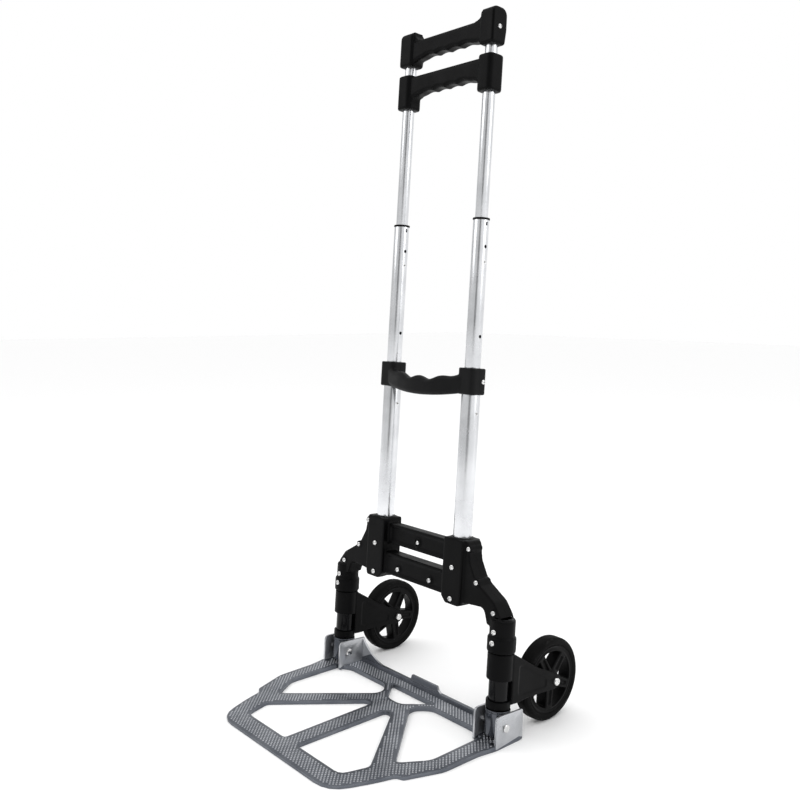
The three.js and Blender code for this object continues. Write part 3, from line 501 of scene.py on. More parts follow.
finishLooks = {
    "blackPlastic": {"dark": (0.0010, 0.0010, 0.0011), "light": (0.0026, 0.0026, 0.0029), "metal": 0,
                     "shine": 0.07, "rough": (0.34, 0.48), "wear": (0.02, 0.02, 0.021),
                     "worn": 0.5, "grain": 1500, "bump": 0.10},
    "gripPlastic": {"dark": (0.0026, 0.0027, 0.0031), "light": (0.0056, 0.0057, 0.0062), "metal": 0,
                    "shine": 0.12, "rough": (0.42, 0.56), "wear": (0.03, 0.03, 0.031),
                    "worn": 0.5, "grain": 1100, "bump": 0.16},
    "wheelPlastic": {"dark": (0.0010, 0.0010, 0.0011), "light": (0.0028, 0.0028, 0.003), "metal": 0,
                     "shine": 0.08, "rough": (0.36, 0.52), "wear": (0.02, 0.02, 0.02),
                     "worn": 0.4, "grain": 1300, "bump": 0.12},
    "tyreRubber": {"dark": (0.0017, 0.0017, 0.0018), "light": (0.0045, 0.0044, 0.0042), "metal": 0,
                   "shine": 0.08, "rough": (0.60, 0.82), "wear": (0.02, 0.0195, 0.019),
                   "worn": 0.8, "grain": 800, "bump": 0.22},
    "drawnAluminium": {"dark": (0.66, 0.67, 0.69), "light": (0.80, 0.81, 0.83), "metal": 1,
                       "shine": 0.5, "rough": (0.20, 0.29), "wear": (0.9, 0.9, 0.91),
                       "worn": 0.3, "drawn": 1.0, "bump": 0.05},
    "castAluminium": {"dark": (0.105, 0.115, 0.135), "light": (0.17, 0.182, 0.205), "metal": 0.85,
                      "shine": 0.5, "rough": (0.30, 0.46), "wear": (0.50, 0.52, 0.55),
                      "worn": 0.15, "grain": 1000, "bump": 0.14},
    "studAluminium": {"dark": (0.46, 0.48, 0.52), "light": (0.68, 0.70, 0.74), "metal": 0.9,
                      "shine": 0.5, "rough": (0.24, 0.38), "wear": (0.8, 0.8, 0.82),
                      "worn": 0.5, "grain": 1300, "bump": 0.08},
    # the satin finish is the ears' own lighter tone, and a painted highlight on the toe plate's eased
    # faces
    "satinAluminiumAndEdgeHighlight": {"dark": (0.40, 0.41, 0.43), "light": (0.56, 0.57, 0.59), "metal": 0.9,
                       "shine": 0.5, "rough": (0.26, 0.40), "wear": (0.8, 0.8, 0.81),
                       "worn": 0.6, "grain": 1300, "bump": 0.08},
    "polishedAluminium": {"dark": (0.055, 0.06, 0.07), "light": (0.13, 0.135, 0.15), "metal": 1,
                          "shine": 0.5, "rough": (0.08, 0.18), "wear": (0.4, 0.4, 0.41),
                          "worn": 0.2, "grain": 700, "bump": 0.03},
    "brightSteel": {"dark": (0.62, 0.62, 0.62), "light": (0.84, 0.84, 0.83), "metal": 1,
                    "shine": 0.5, "rough": (0.13, 0.27), "wear": (0.9, 0.9, 0.9), "worn": 0.3,
                    "grain": 900, "bump": 0.04},
    # gloss black is the colour of the leg tubes and push rods, and on the lock pins a painted shade
    "glossBlackAndPaintedShade": {"dark": (0.0015, 0.0015, 0.0018), "light": (0.003, 0.003, 0.0034), "metal": 0,
                   "shine": 0.14, "rough": (0.12, 0.24), "wear": (0.02, 0.02, 0.02), "worn": 0.3,
                   "grain": 500, "bump": 0.03},
}


def makeFinish(name, look):
    material = bpy.data.materials.new(name)
    material.use_nodes = True
    tree = material.node_tree
    shader = tree.nodes["Principled BSDF"]
    shader.inputs["Metallic"].default_value = look["metal"]
    shader.inputs["Specular IOR Level"].default_value = look["shine"]

    def place(effect, **values):
        node = tree.nodes.new("ShaderNodeGroup")
        node.node_tree = effects[effect]
        for label, value in values.items():
            node.inputs[label].default_value = (*value, 1) if isinstance(value, tuple) else value
        return node

    tint = place("tint", Dark=look["dark"], Light=look["light"], Scale=effectFit["tintScale"])
    wear = place("edgeWear", Scale=effectFit["wearScale"], Amount=look["worn"])
    mix = tree.nodes.new("ShaderNodeMix")
    mix.data_type = "RGBA"
    mix.inputs[7].default_value = (*look["wear"], 1)
    tree.links.new(wear.outputs["Mask"], mix.inputs["Factor"])
    tree.links.new(tint.outputs["Colour"], mix.inputs[6])
    tree.links.new(mix.outputs[2], shader.inputs["Base Color"])
    smudges = place("smudges", Scale=effectFit["smudgeScale"], Low=look["rough"][0],
                    High=look["rough"][1])
    tree.links.new(smudges.outputs["Roughness"], shader.inputs["Roughness"])
    surface = (place("drawnLines", Fineness=look["drawn"]) if "drawn" in look
               else place("grain", Scale=float(look["grain"])))
    bump = tree.nodes.new("ShaderNodeBump")
    bump.inputs["Strength"].default_value = look["bump"]
    bump.inputs["Distance"].default_value = effectFit["bumpDistance"]
    tree.links.new(surface.outputs["Height"], bump.inputs["Height"])
    tree.links.new(bump.outputs["Normal"], shader.inputs["Normal"])
    return material


finishes = {name: makeFinish(name, look) for name, look in finishLooks.items()}

# Tubes are thin walls with eased ends and lock holes through the outer side.

tubeFit = {"lowerWall": 1.5, "middleWall": 1.3, "innerWall": 1.3, "legWall": 2, "ease": 0.35,
           "holeRadius": 2.8, "rivetRadius": 2.6, "rivetHeight": 0.8, "rivetSunk": 0.7,
           "eyeletShare": 0.46}
# Heights of the lock holes and of the small rivets on each stage, along the lean.
lockHoles = {"lower_tube": [], "middle_tube": [575, 714.8, 750.1], "inner_tube": []}
rivetHeights = {"lower_tube": 454.9, "middle_tube": 690.8}

print("tubes")


def makeTube(node, wall, finish, body, holes=()):
    low, high, middle = nodeBox(node)
    radius = (high.y - low.y) / 2
    ease = tubeFit["ease"]
    profile = roundPath([(radius, low.z, ease), (radius, high.z, ease),
                         (radius - wall, high.z, ease), (radius - wall, low.z, ease)], 2)
    shape = tool(turned, profile, Matrix.Translation((middle.x, middle.y, 0)), segments=80)
    cutters = [tool(rod, tubeFit["holeRadius"], middle.x + 2, middle.x + radius + 3,
                    (middle.y, height), "x", segments=28) for height in holes]
    stage = node.rsplit("_", 1)[0]
    if stage in rivetHeights:
        cutters.append(tool(rod, tubeFit["rivetRadius"] * 0.5, middle.x + 2, middle.x + radius + 3,
                            (middle.y, rivetHeights[stage]), "x", segments=24))
    if cutters:
        shape = carve(shape, cutters)
    return makePiece(node.replace("_tube", "_tube_wall"), shape, finish, body, [node])


for sideName in sides:
    for stage, wall, body in (("lower_tube", tubeFit["lowerWall"], "frame"),
                              ("middle_tube", tubeFit["middleWall"], "middle_stage"),
                              ("inner_tube", tubeFit["innerWall"], "upper_stage")):
        makeTube(f"{stage}_{sideName}", wall, "drawnAluminium", body,
                 lockHoles[stage])
    makeTube(f"leg_tube_{sideName}", tubeFit["legWall"], "glossBlackAndPaintedShade", "frame")

for stage, body in (("lower_tube", "frame"), ("middle_tube", "middle_stage")):
    for sideName in sides:
        low, high, middle = nodeBox(f"{stage}_{sideName}")
        face = middle.x + (high.y - low.y) / 2
        radius, height, sunk = tubeFit["rivetRadius"], tubeFit["rivetHeight"], tubeFit["rivetSunk"]
        hole = radius * tubeFit["eyeletShare"]
        profile = [(hole, -sunk), (hole, height * 0.6), (radius * 0.72, height),
                   (radius, height * 0.3), (radius, -sunk)]
        shape = tool(turned, profile, Matrix.Translation((face, middle.y, rivetHeights[stage]))
                     @ turns["x"], segments=24)
        makePiece(f"{stage}_rivet_{sideName}", shape, "brightSteel", body)

# Bands close the tops of the middle tubes.

bandFit = {"height": 3.0, "ease": 0.8, "snug": 0.15, "slide": 0.35}

for sideName in sides:
    node = f"tube_band_{sideName}"
    low, high, middle = nodeBox(node)
    outer = (high.y - low.y) / 2
    middleTubeHigh = nodeBox(f"middle_tube_{sideName}")[1]
    inner = middleTubeHigh.y - middle.y + bandFit["snug"]
    lip = middleTubeHigh.z + bandFit["snug"]
    mouth = nodeBox(f"inner_tube_{sideName}")[1].y - middle.y + bandFit["slide"]
    skirt = high.z - bandFit["height"]
    profile = roundPath([(outer, skirt, 0.4), (outer, high.z, bandFit["ease"]),
                         (mouth, high.z, 0.4), (mouth, lip, 0.1), (inner, lip, 0.1),
                         (inner, skirt, 0.1)], 3)
    shape = tool(turned, profile, Matrix.Translation((middle.x, middle.y, 0)), segments=80)
    makePiece(f"tube_band_ring_{sideName}", shape, "blackPlastic", "middle_stage",
              [node])

# The frame has lugs, arms, leg collars and two crossbars, moulded as a front and a rear shell.

frameFit = {
    "armDepth": 15, "lugDepth": 20, "lugHalfWidth": 21, "lugBottom": 156, "lugTop": 259,
    "entryRadius": 18.6, "entryRise": 1.6, "voxel": 1.25, "smoothing": 7, "gap": 0.3,
    "chamfer": 9.5, "armFoot": 144, "lugEase": 6.5, "seat": 1.7,
    "crossbars": [{"front": -3.5, "rear": 17.5, "bottom": 217, "top": 251},
                  {"front": -8.1, "rear": 17.5, "bottom": 165.5, "top": 202.5}],
    "panelInset": 5, "panelDepth": 1.8,
    "collars": [{"radius": 19.4, "bottom": 128.6, "top": 156},
                {"radius": 21.8, "bottom": 107.6, "top": 129.6}],
}
# Small screws in the front shell: x, the boss's face, height, boss radius.
shellScrews = [(121.6, -9.3, 247.5, 5.6), (142.4, -10.3, 200.6, 6.2), (180.6, -10.3, 164.0, 5.6),
               (38.4, -9.0, 179.2, 5.6)]
lugSideScrew = {"depth": 6.4, "height": 241.1, "boss": 6.2, "proud": 0.9}
middleScrew = {"height": 231.5, "face": -2.3, "boss": 7.2, "bossFace": -3.9, "recess": 5.4}

print("frame shells")


def armOutline():
    inner, outer = tubeX - frameFit["lugHalfWidth"], tubeX + frameFit["lugHalfWidth"]
    bottom, top = frameFit["lugBottom"], frameFit["lugTop"]
    chamfer, foot = frameFit["chamfer"], frameFit["armFoot"]
    knee = legX - frameFit["collars"][0]["radius"]
    rim = legX + frameFit["collars"][0]["radius"]
    return roundPath([
        (inner, bottom + chamfer), (inner + chamfer, bottom, 4), (outer - 3, bottom, 4),
        (outer, 163, 5), (knee - 8, 167, 10), (knee, foot, 1), (rim - 6, foot, 1),
        (legX + 6.5, 163, 14), (legX - 7, 180, 18), (legX - 46, 203, 20), (outer + 12, 229, 20),
        (outer + 6.5, top, 7), (inner, top, 4)])


def lugOutline():
    inner, outer = tubeX - frameFit["lugHalfWidth"], tubeX + frameFit["lugHalfWidth"]
    bottom, top = frameFit["lugBottom"], frameFit["lugTop"]
    chamfer = frameFit["chamfer"]
    return roundPath([(inner, bottom + chamfer), (inner + chamfer, bottom, 4),
                      (outer - 3, bottom, 4), (outer, 169, 4), (outer, top, 2),
                      (inner, top, 2)], 3)


def makeFrame():
    whole = bmesh.new()
    prism(whole, lugOutline(), tubeY - frameFit["lugDepth"], tubeY + frameFit["lugDepth"], "y")
    # only the lugs' long upright edges are rounded here
    bevelEdges(whole, lambda edge: abs(edge.verts[0].co.z - edge.verts[1].co.z) > 20,
               frameFit["lugEase"], 5)
    prism(whole, armOutline(), tubeY - frameFit["armDepth"], tubeY + frameFit["armDepth"], "y")
    rod(whole, frameFit["entryRadius"], frameFit["lugTop"] - 4,
        frameFit["lugTop"] + frameFit["entryRise"], (tubeX, tubeY))
    for collar in frameFit["collars"]:
        rod(whole, collar["radius"], collar["bottom"], collar["top"], (legX, tubeY))
    for x, face, height, radius in shellScrews:
        rod(whole, radius, face, tubeY + 13, (x, height), "y", 40)
    lugSide = tubeX - frameFit["lugHalfWidth"]
    rod(whole, lugSideScrew["boss"], lugSide - lugSideScrew["proud"], lugSide + 5,
        (lugSideScrew["depth"], lugSideScrew["height"]), "x", 40)
    addMirror(whole)
    reach = lugSide + 3
    inset, end = frameFit["panelInset"], reach - 8
    for bar in frameFit["crossbars"]:
        solid = tool(block, (-reach, bar["front"], bar["bottom"]),
                     (reach, bar["rear"], bar["top"]), 2)
        panel = tool(block, (-end, bar["front"] - 4, bar["bottom"] + inset),
                     (end, bar["front"] + frameFit["panelDepth"], bar["top"] - inset), 1.5)
        joinShape(whole, carve(solid, [panel]))
    rod(whole, middleScrew["boss"], middleScrew["bossFace"], 10, (0, middleScrew["height"]), "y", 40)
    moulded = mould(whole, frameFit["voxel"], frameFit["smoothing"])
    bores = []
    halfGap = frameFit["gap"] / 2
    for side in sides.values():
        bores.append(tool(rod, lowerRadius + halfGap, lowerTubeLow.z - 0.3, frameFit["lugTop"] + 5,
                          (side * tubeX, tubeY), segments=80))
        bores.append(tool(rod, lowerRadius + halfGap - frameFit["seat"], frameFit["lugBottom"] - 5,
                          lowerTubeLow.z + 1, (side * tubeX, tubeY), segments=64))
        bores.append(tool(rod, legRadius + halfGap, frameFit["collars"][1]["bottom"] - 3,
                          legHigh.z + 2, (side * legX, tubeY), segments=80))
    bores.append(tool(rod, middleScrew["recess"], -8, middleScrew["face"],
                      (0, middleScrew["height"]), "y", segments=40))
    bored = carve(moulded, bores)
    for name, near, far in (("frame_front_shell", -60, tubeY - halfGap),
                            ("frame_rear_shell", tubeY + halfGap, 60)):
        half = carve(bored, [tool(block, (-260, near, 60), (260, far, 300))], "INTERSECT")
        makePiece(name.replace("_shell", "_moulding"), half, "blackPlastic", "frame",
                  [name])


makeFrame()

# Screws have domed heads with a cross recess.


def screwShape(radius, height, shank=3.0):
    profile = [(0, height), (radius * 0.3, height * 0.97), (radius * 0.58, height * 0.84),
               (radius * 0.82, height * 0.58), (radius * 0.96, height * 0.26), (radius, 0.0),
               (radius * 0.5, -0.05), (radius * 0.5, -shank), (0, -shank)]
    head = tool(turned, profile, Matrix.Identity(4), segments=32)
    long, thin, deep = radius * 0.52, radius * 0.13, height * 0.35
    slots = [tool(block, (-long, -thin, deep), (long, thin, height + 1)),
             tool(block, (-thin, -long, deep), (thin, long, height + 1))]
    return carve(head, slots)


def placeScrew(name, radius, height, spot, facing, body, nodes=(), shank=3.0, twist=20):
    # facing is the way the head points: front, right or left
    shape = screwShape(radius, height, shank)
    turn = {"front": turns["y"], "right": turns["x"],
            "left": Matrix.Rotation(math.radians(-90), 4, "Y")}[facing]
    bmesh.ops.transform(shape, verts=shape.verts, matrix=Matrix.Translation(spot) @ turn
                        @ Matrix.Rotation(math.radians(twist), 4, "Z"))
    return makePiece(name, shape, "brightSteel", body, nodes, sharp=40)


screwFit = {"bigHead": 4.3, "smallHead": 4.0, "sideHead": 3.8, "height": 2.1, "smallHeight": 1.9,
            "sideDepth": 2.2, "sink": 0.1}

print("screws")
for sideName, side in sides.items():
    for index, kind in enumerate(("lug_bolt_upper", "lug_bolt_lower", "collar_screw_upper",
                                  "collar_screw_lower")):
        node = f"{kind}_{sideName}"
        low, high, middle = nodeBox(node)
        placeScrew(node + "_head", screwFit["bigHead"], screwFit["height"],
                   (middle.x, low.y + screwFit["height"], middle.z), "front", "frame", [node],
                   high.y - low.y - screwFit["height"], twist=17 + 31 * index)
    for index, (x, face, height, _) in enumerate(shellScrews):
        placeScrew(f"shell_screw_{index + 1}_{sideName}", screwFit["smallHead"],
                   screwFit["smallHeight"], (side * x, face - screwFit["sink"], height), "front",
                   "frame", twist=40 * index + 12)
    for kind, body, shank in (("clamp_screw", "frame", 3), ("handle_screw", "upper_stage", 15)):
        node = f"{kind}_{sideName}"
        low, high, middle = nodeBox(node)
        depth = screwFit["sideDepth"]
        outward = high.x - depth if side > 0 else low.x + depth
        placeScrew(node + "_head", screwFit["sideHead"], screwFit["height"],
                   (outward, middle.y, middle.z), sideName, body, [node], shank)
for sideName, side in sides.items():
    placeScrew(f"lug_side_screw_{sideName}", screwFit["smallHead"], screwFit["smallHeight"],
               (side * (tubeX - frameFit["lugHalfWidth"] - lugSideScrew["proud"]),
                lugSideScrew["depth"], lugSideScrew["height"]),
               "left" if side > 0 else "right", "frame")
placeScrew("crossbar_screw", screwFit["sideHead"], screwFit["smallHeight"],
           (0, middleScrew["face"] - screwFit["sink"], middleScrew["height"]), "front", "frame")

# The carry grip is two sleeves and a bar that bows forward and down, with bumps along its top.

gripFit = {"halfWidth": 17.2, "halfDepth": 17, "corner": 8, "barEnd": 87.5, "barDepth": 17,
           "barLow": 486, "barHigh": 517, "bow": 17, "drop": 9, "bump": 5.8, "bumps": 3,
           "bumpSpan": 0.82, "round": 7.2, "voxel": 1.0, "smoothing": 5, "snug": 0.15, "slide": 0.4,
           "cuts": 64}

print("carry grip")


def sleevePath(half, deep, corner):
    # a rounded square about the right-hand tube, seen along it
    return roundPath([(tubeX - half, tubeY - deep, corner), (tubeX + half, tubeY - deep, corner),
                      (tubeX + half, tubeY + deep, corner), (tubeX - half, tubeY + deep, corner)])


def makeCarryGrip():
    fit = gripFit
    sleeveLow, sleeveHigh = nodeBox("grip_clamp_right")[0].z, nodeBox("carry_grip")[1].z
    bar = bmesh.new()
    end = fit["barEnd"]
    block(bar, (-end, tubeY - fit["halfDepth"], fit["barLow"]),
          (end, tubeY - fit["halfDepth"] + fit["barDepth"], fit["barHigh"]))
    bevelEdges(bar, lambda edge: abs(edge.verts[0].co.x - edge.verts[1].co.x) > end,
               fit["round"], 6)
    for step in range(1, fit["cuts"]):
        x = -end + 2 * end * step / fit["cuts"]
        bmesh.ops.bisect_plane(bar, geom=bar.verts[:] + bar.edges[:] + bar.faces[:],
                               plane_co=(x, 0, 0), plane_no=(1, 0, 0))
    for vertex in bar.verts:
        across = vertex.co.x / end
        sag = 1 - across ** 2
        wave = math.cos(math.pi * fit["bumps"] * across / fit["bumpSpan"] / 2)
        lowZ = fit["barLow"] - fit["drop"] * sag
        highZ = fit["barHigh"] - fit["drop"] * sag - fit["bump"] * (1 - wave ** 2) * sag
        share = (vertex.co.z - fit["barLow"]) / (fit["barHigh"] - fit["barLow"])
        vertex.co.z = lowZ + (highZ - lowZ) * share
        vertex.co.y -= fit["bow"] * sag
    sleeves = bmesh.new()
    path = sleevePath(fit["halfWidth"], fit["halfDepth"], fit["corner"])
    prism(sleeves, path, sleeveLow, sleeveHigh, "z")
    bevelEdges(sleeves, sharperThan(60), 1.6, 3)
    addMirror(sleeves)
    joinShape(sleeves, bar)
    moulded = mould(sleeves, fit["voxel"], fit["smoothing"])
    bores = []
    middleRadius = nodeBox("middle_tube_right")[1].y - tubeY
    for side in sides.values():
        bores.append(tool(rod, lowerRadius + fit["snug"], sleeveLow - 3, lowerTubeHigh.z + 0.2,
                          (side * tubeX, tubeY), segments=80))
        bores.append(tool(rod, middleRadius + fit["slide"], sleeveLow, sleeveHigh + 3,
                          (side * tubeX, tubeY), segments=80))
    bored = carve(moulded, bores)
    # the sleeves part behind the bar: each clamp is the rear half of one sleeve
    front = carve(bored, [tool(block, (-200, -60, 400), (200, tubeY - fit["snug"], 600))],
                  "INTERSECT")
    makePiece("carry_grip_moulding", front, "gripPlastic", "frame", ["carry_grip"])
    for sideName, side in sides.items():
        space = tool(block, (min(0, side * 200), tubeY + fit["snug"], 400),
                     (max(0, side * 200), 60, 600))
        rear = carve(bored, [space], "INTERSECT")
        makePiece(f"grip_clamp_moulding_{sideName}", rear, "gripPlastic", "frame",
                  [f"grip_clamp_{sideName}"])


makeCarryGrip()

# The top handle and release grip are blocks on the inner tubes with a finger bar between.

handleFit = {"halfWidth": 15, "barHalfDepth": 11, "barLow": 6, "barHigh": 41.6, "barRound": 6,
             "fingers": 4, "wave": 2.4, "margin": 26, "ease": 4.2, "fillet": 15.5, "underFillet": 5,
             "filletHalfDepth": 9.5, "rearFoot": 20.5, "rearRise": 24, "bore": 0.2, "voxel": 1.0,
             "smoothing": 7}
releaseFit = {"halfWidth": 15.6, "halfDepth": 16.4, "corner": 9, "ease": 3, "barHalfDepth": 11,
              "barLow": 18, "barHigh": 54.4, "underFillet": 10}

print("top handle and release grip")


def fingerBar(shape, blockHalfWidth, low, high, halfDepth, rounding):
    end = tubeX - blockHalfWidth + 3
    flat = end - handleFit["margin"]
    path = [(-end, low - 3), (-flat - 14, low + 2)]
    steps = handleFit["fingers"] * 14
    for step in range(steps + 1):
        share = step / steps
        rise = handleFit["wave"] * abs(math.sin(math.pi * handleFit["fingers"] * share))
        path.append((-flat + 2 * flat * share, low + 4 + rise))
    path += [(flat + 14, low + 2), (end, low - 3), (end, high), (-end, high)]
    prism(shape, path, tubeY - halfDepth, tubeY + halfDepth, "y")
    bevelEdges(shape, lambda edge: sharperThan(60)(edge) and
               abs(edge.verts[0].co.x - edge.verts[1].co.x) > 0.5, rounding, 5)


def cornerFillet(shape, x, z, radius, upward):
    # a concave quarter between the bar and a block: it rises or hangs at the block's inner side
    way, halfDepth = 1 if upward else -1, handleFit["filletHalfDepth"]
    path = [Vector((x + 2, z - way * 3)), Vector((x - radius, z - way * 3))]
    for step in range(9):
        turn = math.radians(90 * step / 8)
        path.append(Vector((x - radius + radius * math.sin(turn),
                            z + way * (radius - radius * math.cos(turn)))))
    path.append(Vector((x + 2, z + way * radius)))
    prism(shape, path, tubeY - halfDepth, tubeY + halfDepth, "y")


def boreInner(moulded, low, high):
    radius = nodeBox("inner_tube_right")[1].y - tubeY + handleFit["bore"]
    return carve(moulded, [tool(rod, radius, low, high, (side * tubeX, tubeY), segments=72)
                           for side in sides.values()])


def makeTopHandle():
    # the blocks slope in behind at the foot and round over at the top
    low, high, _ = nodeBox("top_handle")
    bottom, top = low.z, high.z
    half = handleFit["halfWidth"]
    crown = bmesh.new()
    barLow, barHigh = bottom + handleFit["barLow"], bottom + handleFit["barHigh"]
    outline = roundPath([(low.y, bottom), (handleFit["rearFoot"], bottom),
                         (high.y, bottom + handleFit["rearRise"], 8),
                         (high.y - 0.8, top, 12), (low.y, top, 10)], 8)
    prism(crown, outline, tubeX - half, tubeX + half, "x")
    bevelEdges(crown, sharperThan(70), handleFit["ease"], 5)
    cornerFillet(crown, tubeX - half, barHigh, handleFit["fillet"], True)
    cornerFillet(crown, tubeX - half, bottom + 6.4, handleFit["underFillet"], False)
    addMirror(crown)
    joinShape(crown, tool(fingerBar, half, barLow, barHigh, handleFit["barHalfDepth"],
                          handleFit["barRound"]))
    moulded = mould(crown, handleFit["voxel"], handleFit["smoothing"])
    bored = boreInner(moulded, bottom - 3, nodeBox("inner_tube_right")[1].z + 0.3)
    makePiece("top_handle_moulding", bored, "blackPlastic", "upper_stage",
              ["top_handle"])


def makeReleaseGrip():
    low, high, _ = nodeBox("release_grip")
    bottom, top = low.z, high.z
    half, barLow = releaseFit["halfWidth"], bottom + releaseFit["barLow"]
    path = sleevePath(half, releaseFit["halfDepth"], releaseFit["corner"])
    blocks = tool(prism, path, bottom, top, "z")
    bevelEdges(blocks, sharperThan(60), releaseFit["ease"], 4)
    cornerFillet(blocks, tubeX - half, barLow + 2, releaseFit["underFillet"], False)
    addMirror(blocks)
    joinShape(blocks, tool(fingerBar, half, barLow, bottom + releaseFit["barHigh"],
                           releaseFit["barHalfDepth"], handleFit["barRound"]))
    moulded = mould(blocks, handleFit["voxel"], handleFit["smoothing"])
    bored = boreInner(moulded, bottom - 3, top + 3)
    makePiece("release_grip_moulding", bored, "blackPlastic", "release",
              ["release_grip"])


makeTopHandle()
makeReleaseGrip()

# Leg feet are polished round posts with a rim, cut away under the hinge line.

footFit = {"rimHeight": 2.4, "groove": 0.5, "sweep": 20.3, "snug": 0.15, "pin": 4, "pinBore": 4.3,
           "pinHead": 2.2}

print("leg feet")
for sideName in sides:
    node = f"leg_foot_{sideName}"
    low, high, middle = nodeBox(node)
    radius = (high.y - low.y) / 2
    socket = legRadius + footFit["snug"]
    rim, waist = high.z - footFit["rimHeight"], radius - footFit["groove"]
    profile = roundPath([
        (0, low.z), (radius, low.z, 1.5), (radius, rim - 1.2, 0.4), (waist, rim - 0.8), (waist, rim),
        (radius, rim + 0.4), (radius, high.z, 1.0), (socket, high.z, 0.6),
        (socket, legLow.z - 0.3), (0, legLow.z - 0.3)], 4)
    post = tool(turned, profile, Matrix.Translation((middle.x, middle.y, 0)), segments=96)
    corner = tool(block, (middle.x - 40, -40, -40), (middle.x + 40, 0, 0))
    sweep = tool(rod, footFit["sweep"], middle.x - 45, middle.x + 45, (0, 0), "x", segments=96)
    shape = carve(post, [carve(corner, [sweep]),
                         tool(rod, footFit["pinBore"], middle.x - 45, middle.x + 45, (0, 0), "x",
                              segments=32)])
    makePiece(f"leg_foot_post_{sideName}", shape, "polishedAluminium", "frame",
              [node])
    node = f"hinge_pin_{sideName}"
    low, high, _ = nodeBox(node)
    head, pin = (high.z - low.z) / 2, footFit["pin"]
    near, far = low.x + footFit["pinHead"], high.x - footFit["pinHead"]
    profile = roundPath([
        (0, low.x), (head - 1.2, low.x, 1), (head, low.x + 1.2, 1), (head, near), (pin, near),
        (pin, far), (head, far), (head, high.x - 1.2, 1), (head - 1.2, high.x, 1), (0, high.x)], 4)
    shape = tool(turned, profile, turns["x"], segments=48)
    makePiece(f"hinge_rivet_{sideName}", shape, "brightSteel", "frame", [node])

# A wheel bracket is a knuckle on the leg and a fork that carries the axle.

bracketFit = {"upperTop": 106.8, "upperBottom": 66.5, "lowerTop": 35, "lowerBottom": 23.6,
              "upperRadius": 20, "lowerRadius": 18.6, "forkOutside": 19.5, "forkInside": 14.2,
              "webEnd": 45.5, "boss": 11.6, "bossHalf": 2.7, "legGap": 0.6, "tyreRoom": 67.5,
              "axleBore": 5.3, "panelDepth": 0.9, "voxel": 1.0, "smoothing": 5}

tyreLow, tyreHigh, axleMiddle = nodeBox("wheel_tyre_right")
axleY, axleZ = axleMiddle.y, axleMiddle.z

print("wheel brackets")


def makeBrackets():
    fit = bracketFit
    outline = roundPath([
        (tubeY + 8, fit["upperTop"]), (tubeY + 8, 30), (tubeY + 26, 30, 6),
        (tubeY + 48, axleZ - fit["boss"], 10), (axleY, axleZ - fit["boss"], 1),
        (axleY, axleZ + fit["boss"], 1), (tubeY + 62, axleZ + 32, 12),
        (tubeY + 30, fit["upperTop"] - 12, 10)])
    solid = bmesh.new()
    prism(solid, outline, legX - fit["forkOutside"], legX + fit["forkOutside"], "x")
    room = [tool(block, (legX - fit["forkInside"], fit["webEnd"], 0),
                 (legX + fit["forkInside"], 300, 140)),
            tool(rod, fit["tyreRoom"], legX - fit["forkInside"], legX + fit["forkInside"],
                 (axleY, axleZ), "x", segments=96)]
    # a shallow panel on each cheek
    panel = roundPath([(tubeY + 22, fit["upperTop"] - 20, 4), (tubeY + 22, 44, 4),
                       (tubeY + 34, 40, 4), (tubeY + 88, axleZ - 4, 4), (tubeY + 88, axleZ + 8, 4),
                       (tubeY + 54, axleZ + 26, 6), (tubeY + 32, fit["upperTop"] - 22, 6)])
    for x in (legX - fit["forkOutside"], legX + fit["forkOutside"]):
        room.append(tool(prism, panel, x - fit["panelDepth"], x + fit["panelDepth"], "x"))
    solid = carve(solid, room)
    cheek = (fit["forkOutside"] + fit["forkInside"]) / 2
    for x in (legX - cheek, legX + cheek):
        rod(solid, fit["boss"], x - fit["bossHalf"], x + fit["bossHalf"], (axleY, axleZ), "x", 64)
    rod(solid, fit["upperRadius"], fit["upperBottom"], fit["upperTop"], (legX, tubeY))
    rod(solid, fit["lowerRadius"], fit["lowerBottom"], fit["lowerTop"], (legX, tubeY))
    moulded = mould(solid, fit["voxel"], fit["smoothing"])
    bored = carve(moulded, [tool(rod, legRadius + fit["legGap"], 10, 130, (legX, tubeY), segments=80),
                            tool(rod, fit["axleBore"], legX - 40, legX + 40, (axleY, axleZ), "x",
                                 segments=40)])
    for sideName, side in sides.items():
        makePiece(f"wheel_fork_{sideName}", mirrored(bored, side), "blackPlastic",
                  f"bracket_{sideName}", [f"wheel_bracket_{sideName}"])


makeBrackets()

# A wheel is a rubber tyre on a five-spoked rim, with a hub bush and a headed axle.

wheelFit = {"halfWidth": 12, "tyreInside": 53.3, "rimOutside": 53, "rimInside": 44.5, "hub": 15,
            "hubHalfWidth": 13.6, "spokes": 5, "spokeWidth": 15, "spokeHalfDepth": 10.5,
            "scoop": 2.2, "bushBore": 7.25, "bushRadius": 7.1, "bushInside": 5.2, "axle": 5,
            "axleHead": 4.1, "voxel": 0.95, "smoothing": 5, "firstSpoke": {"right": 52, "left": 65}}

print("wheels")


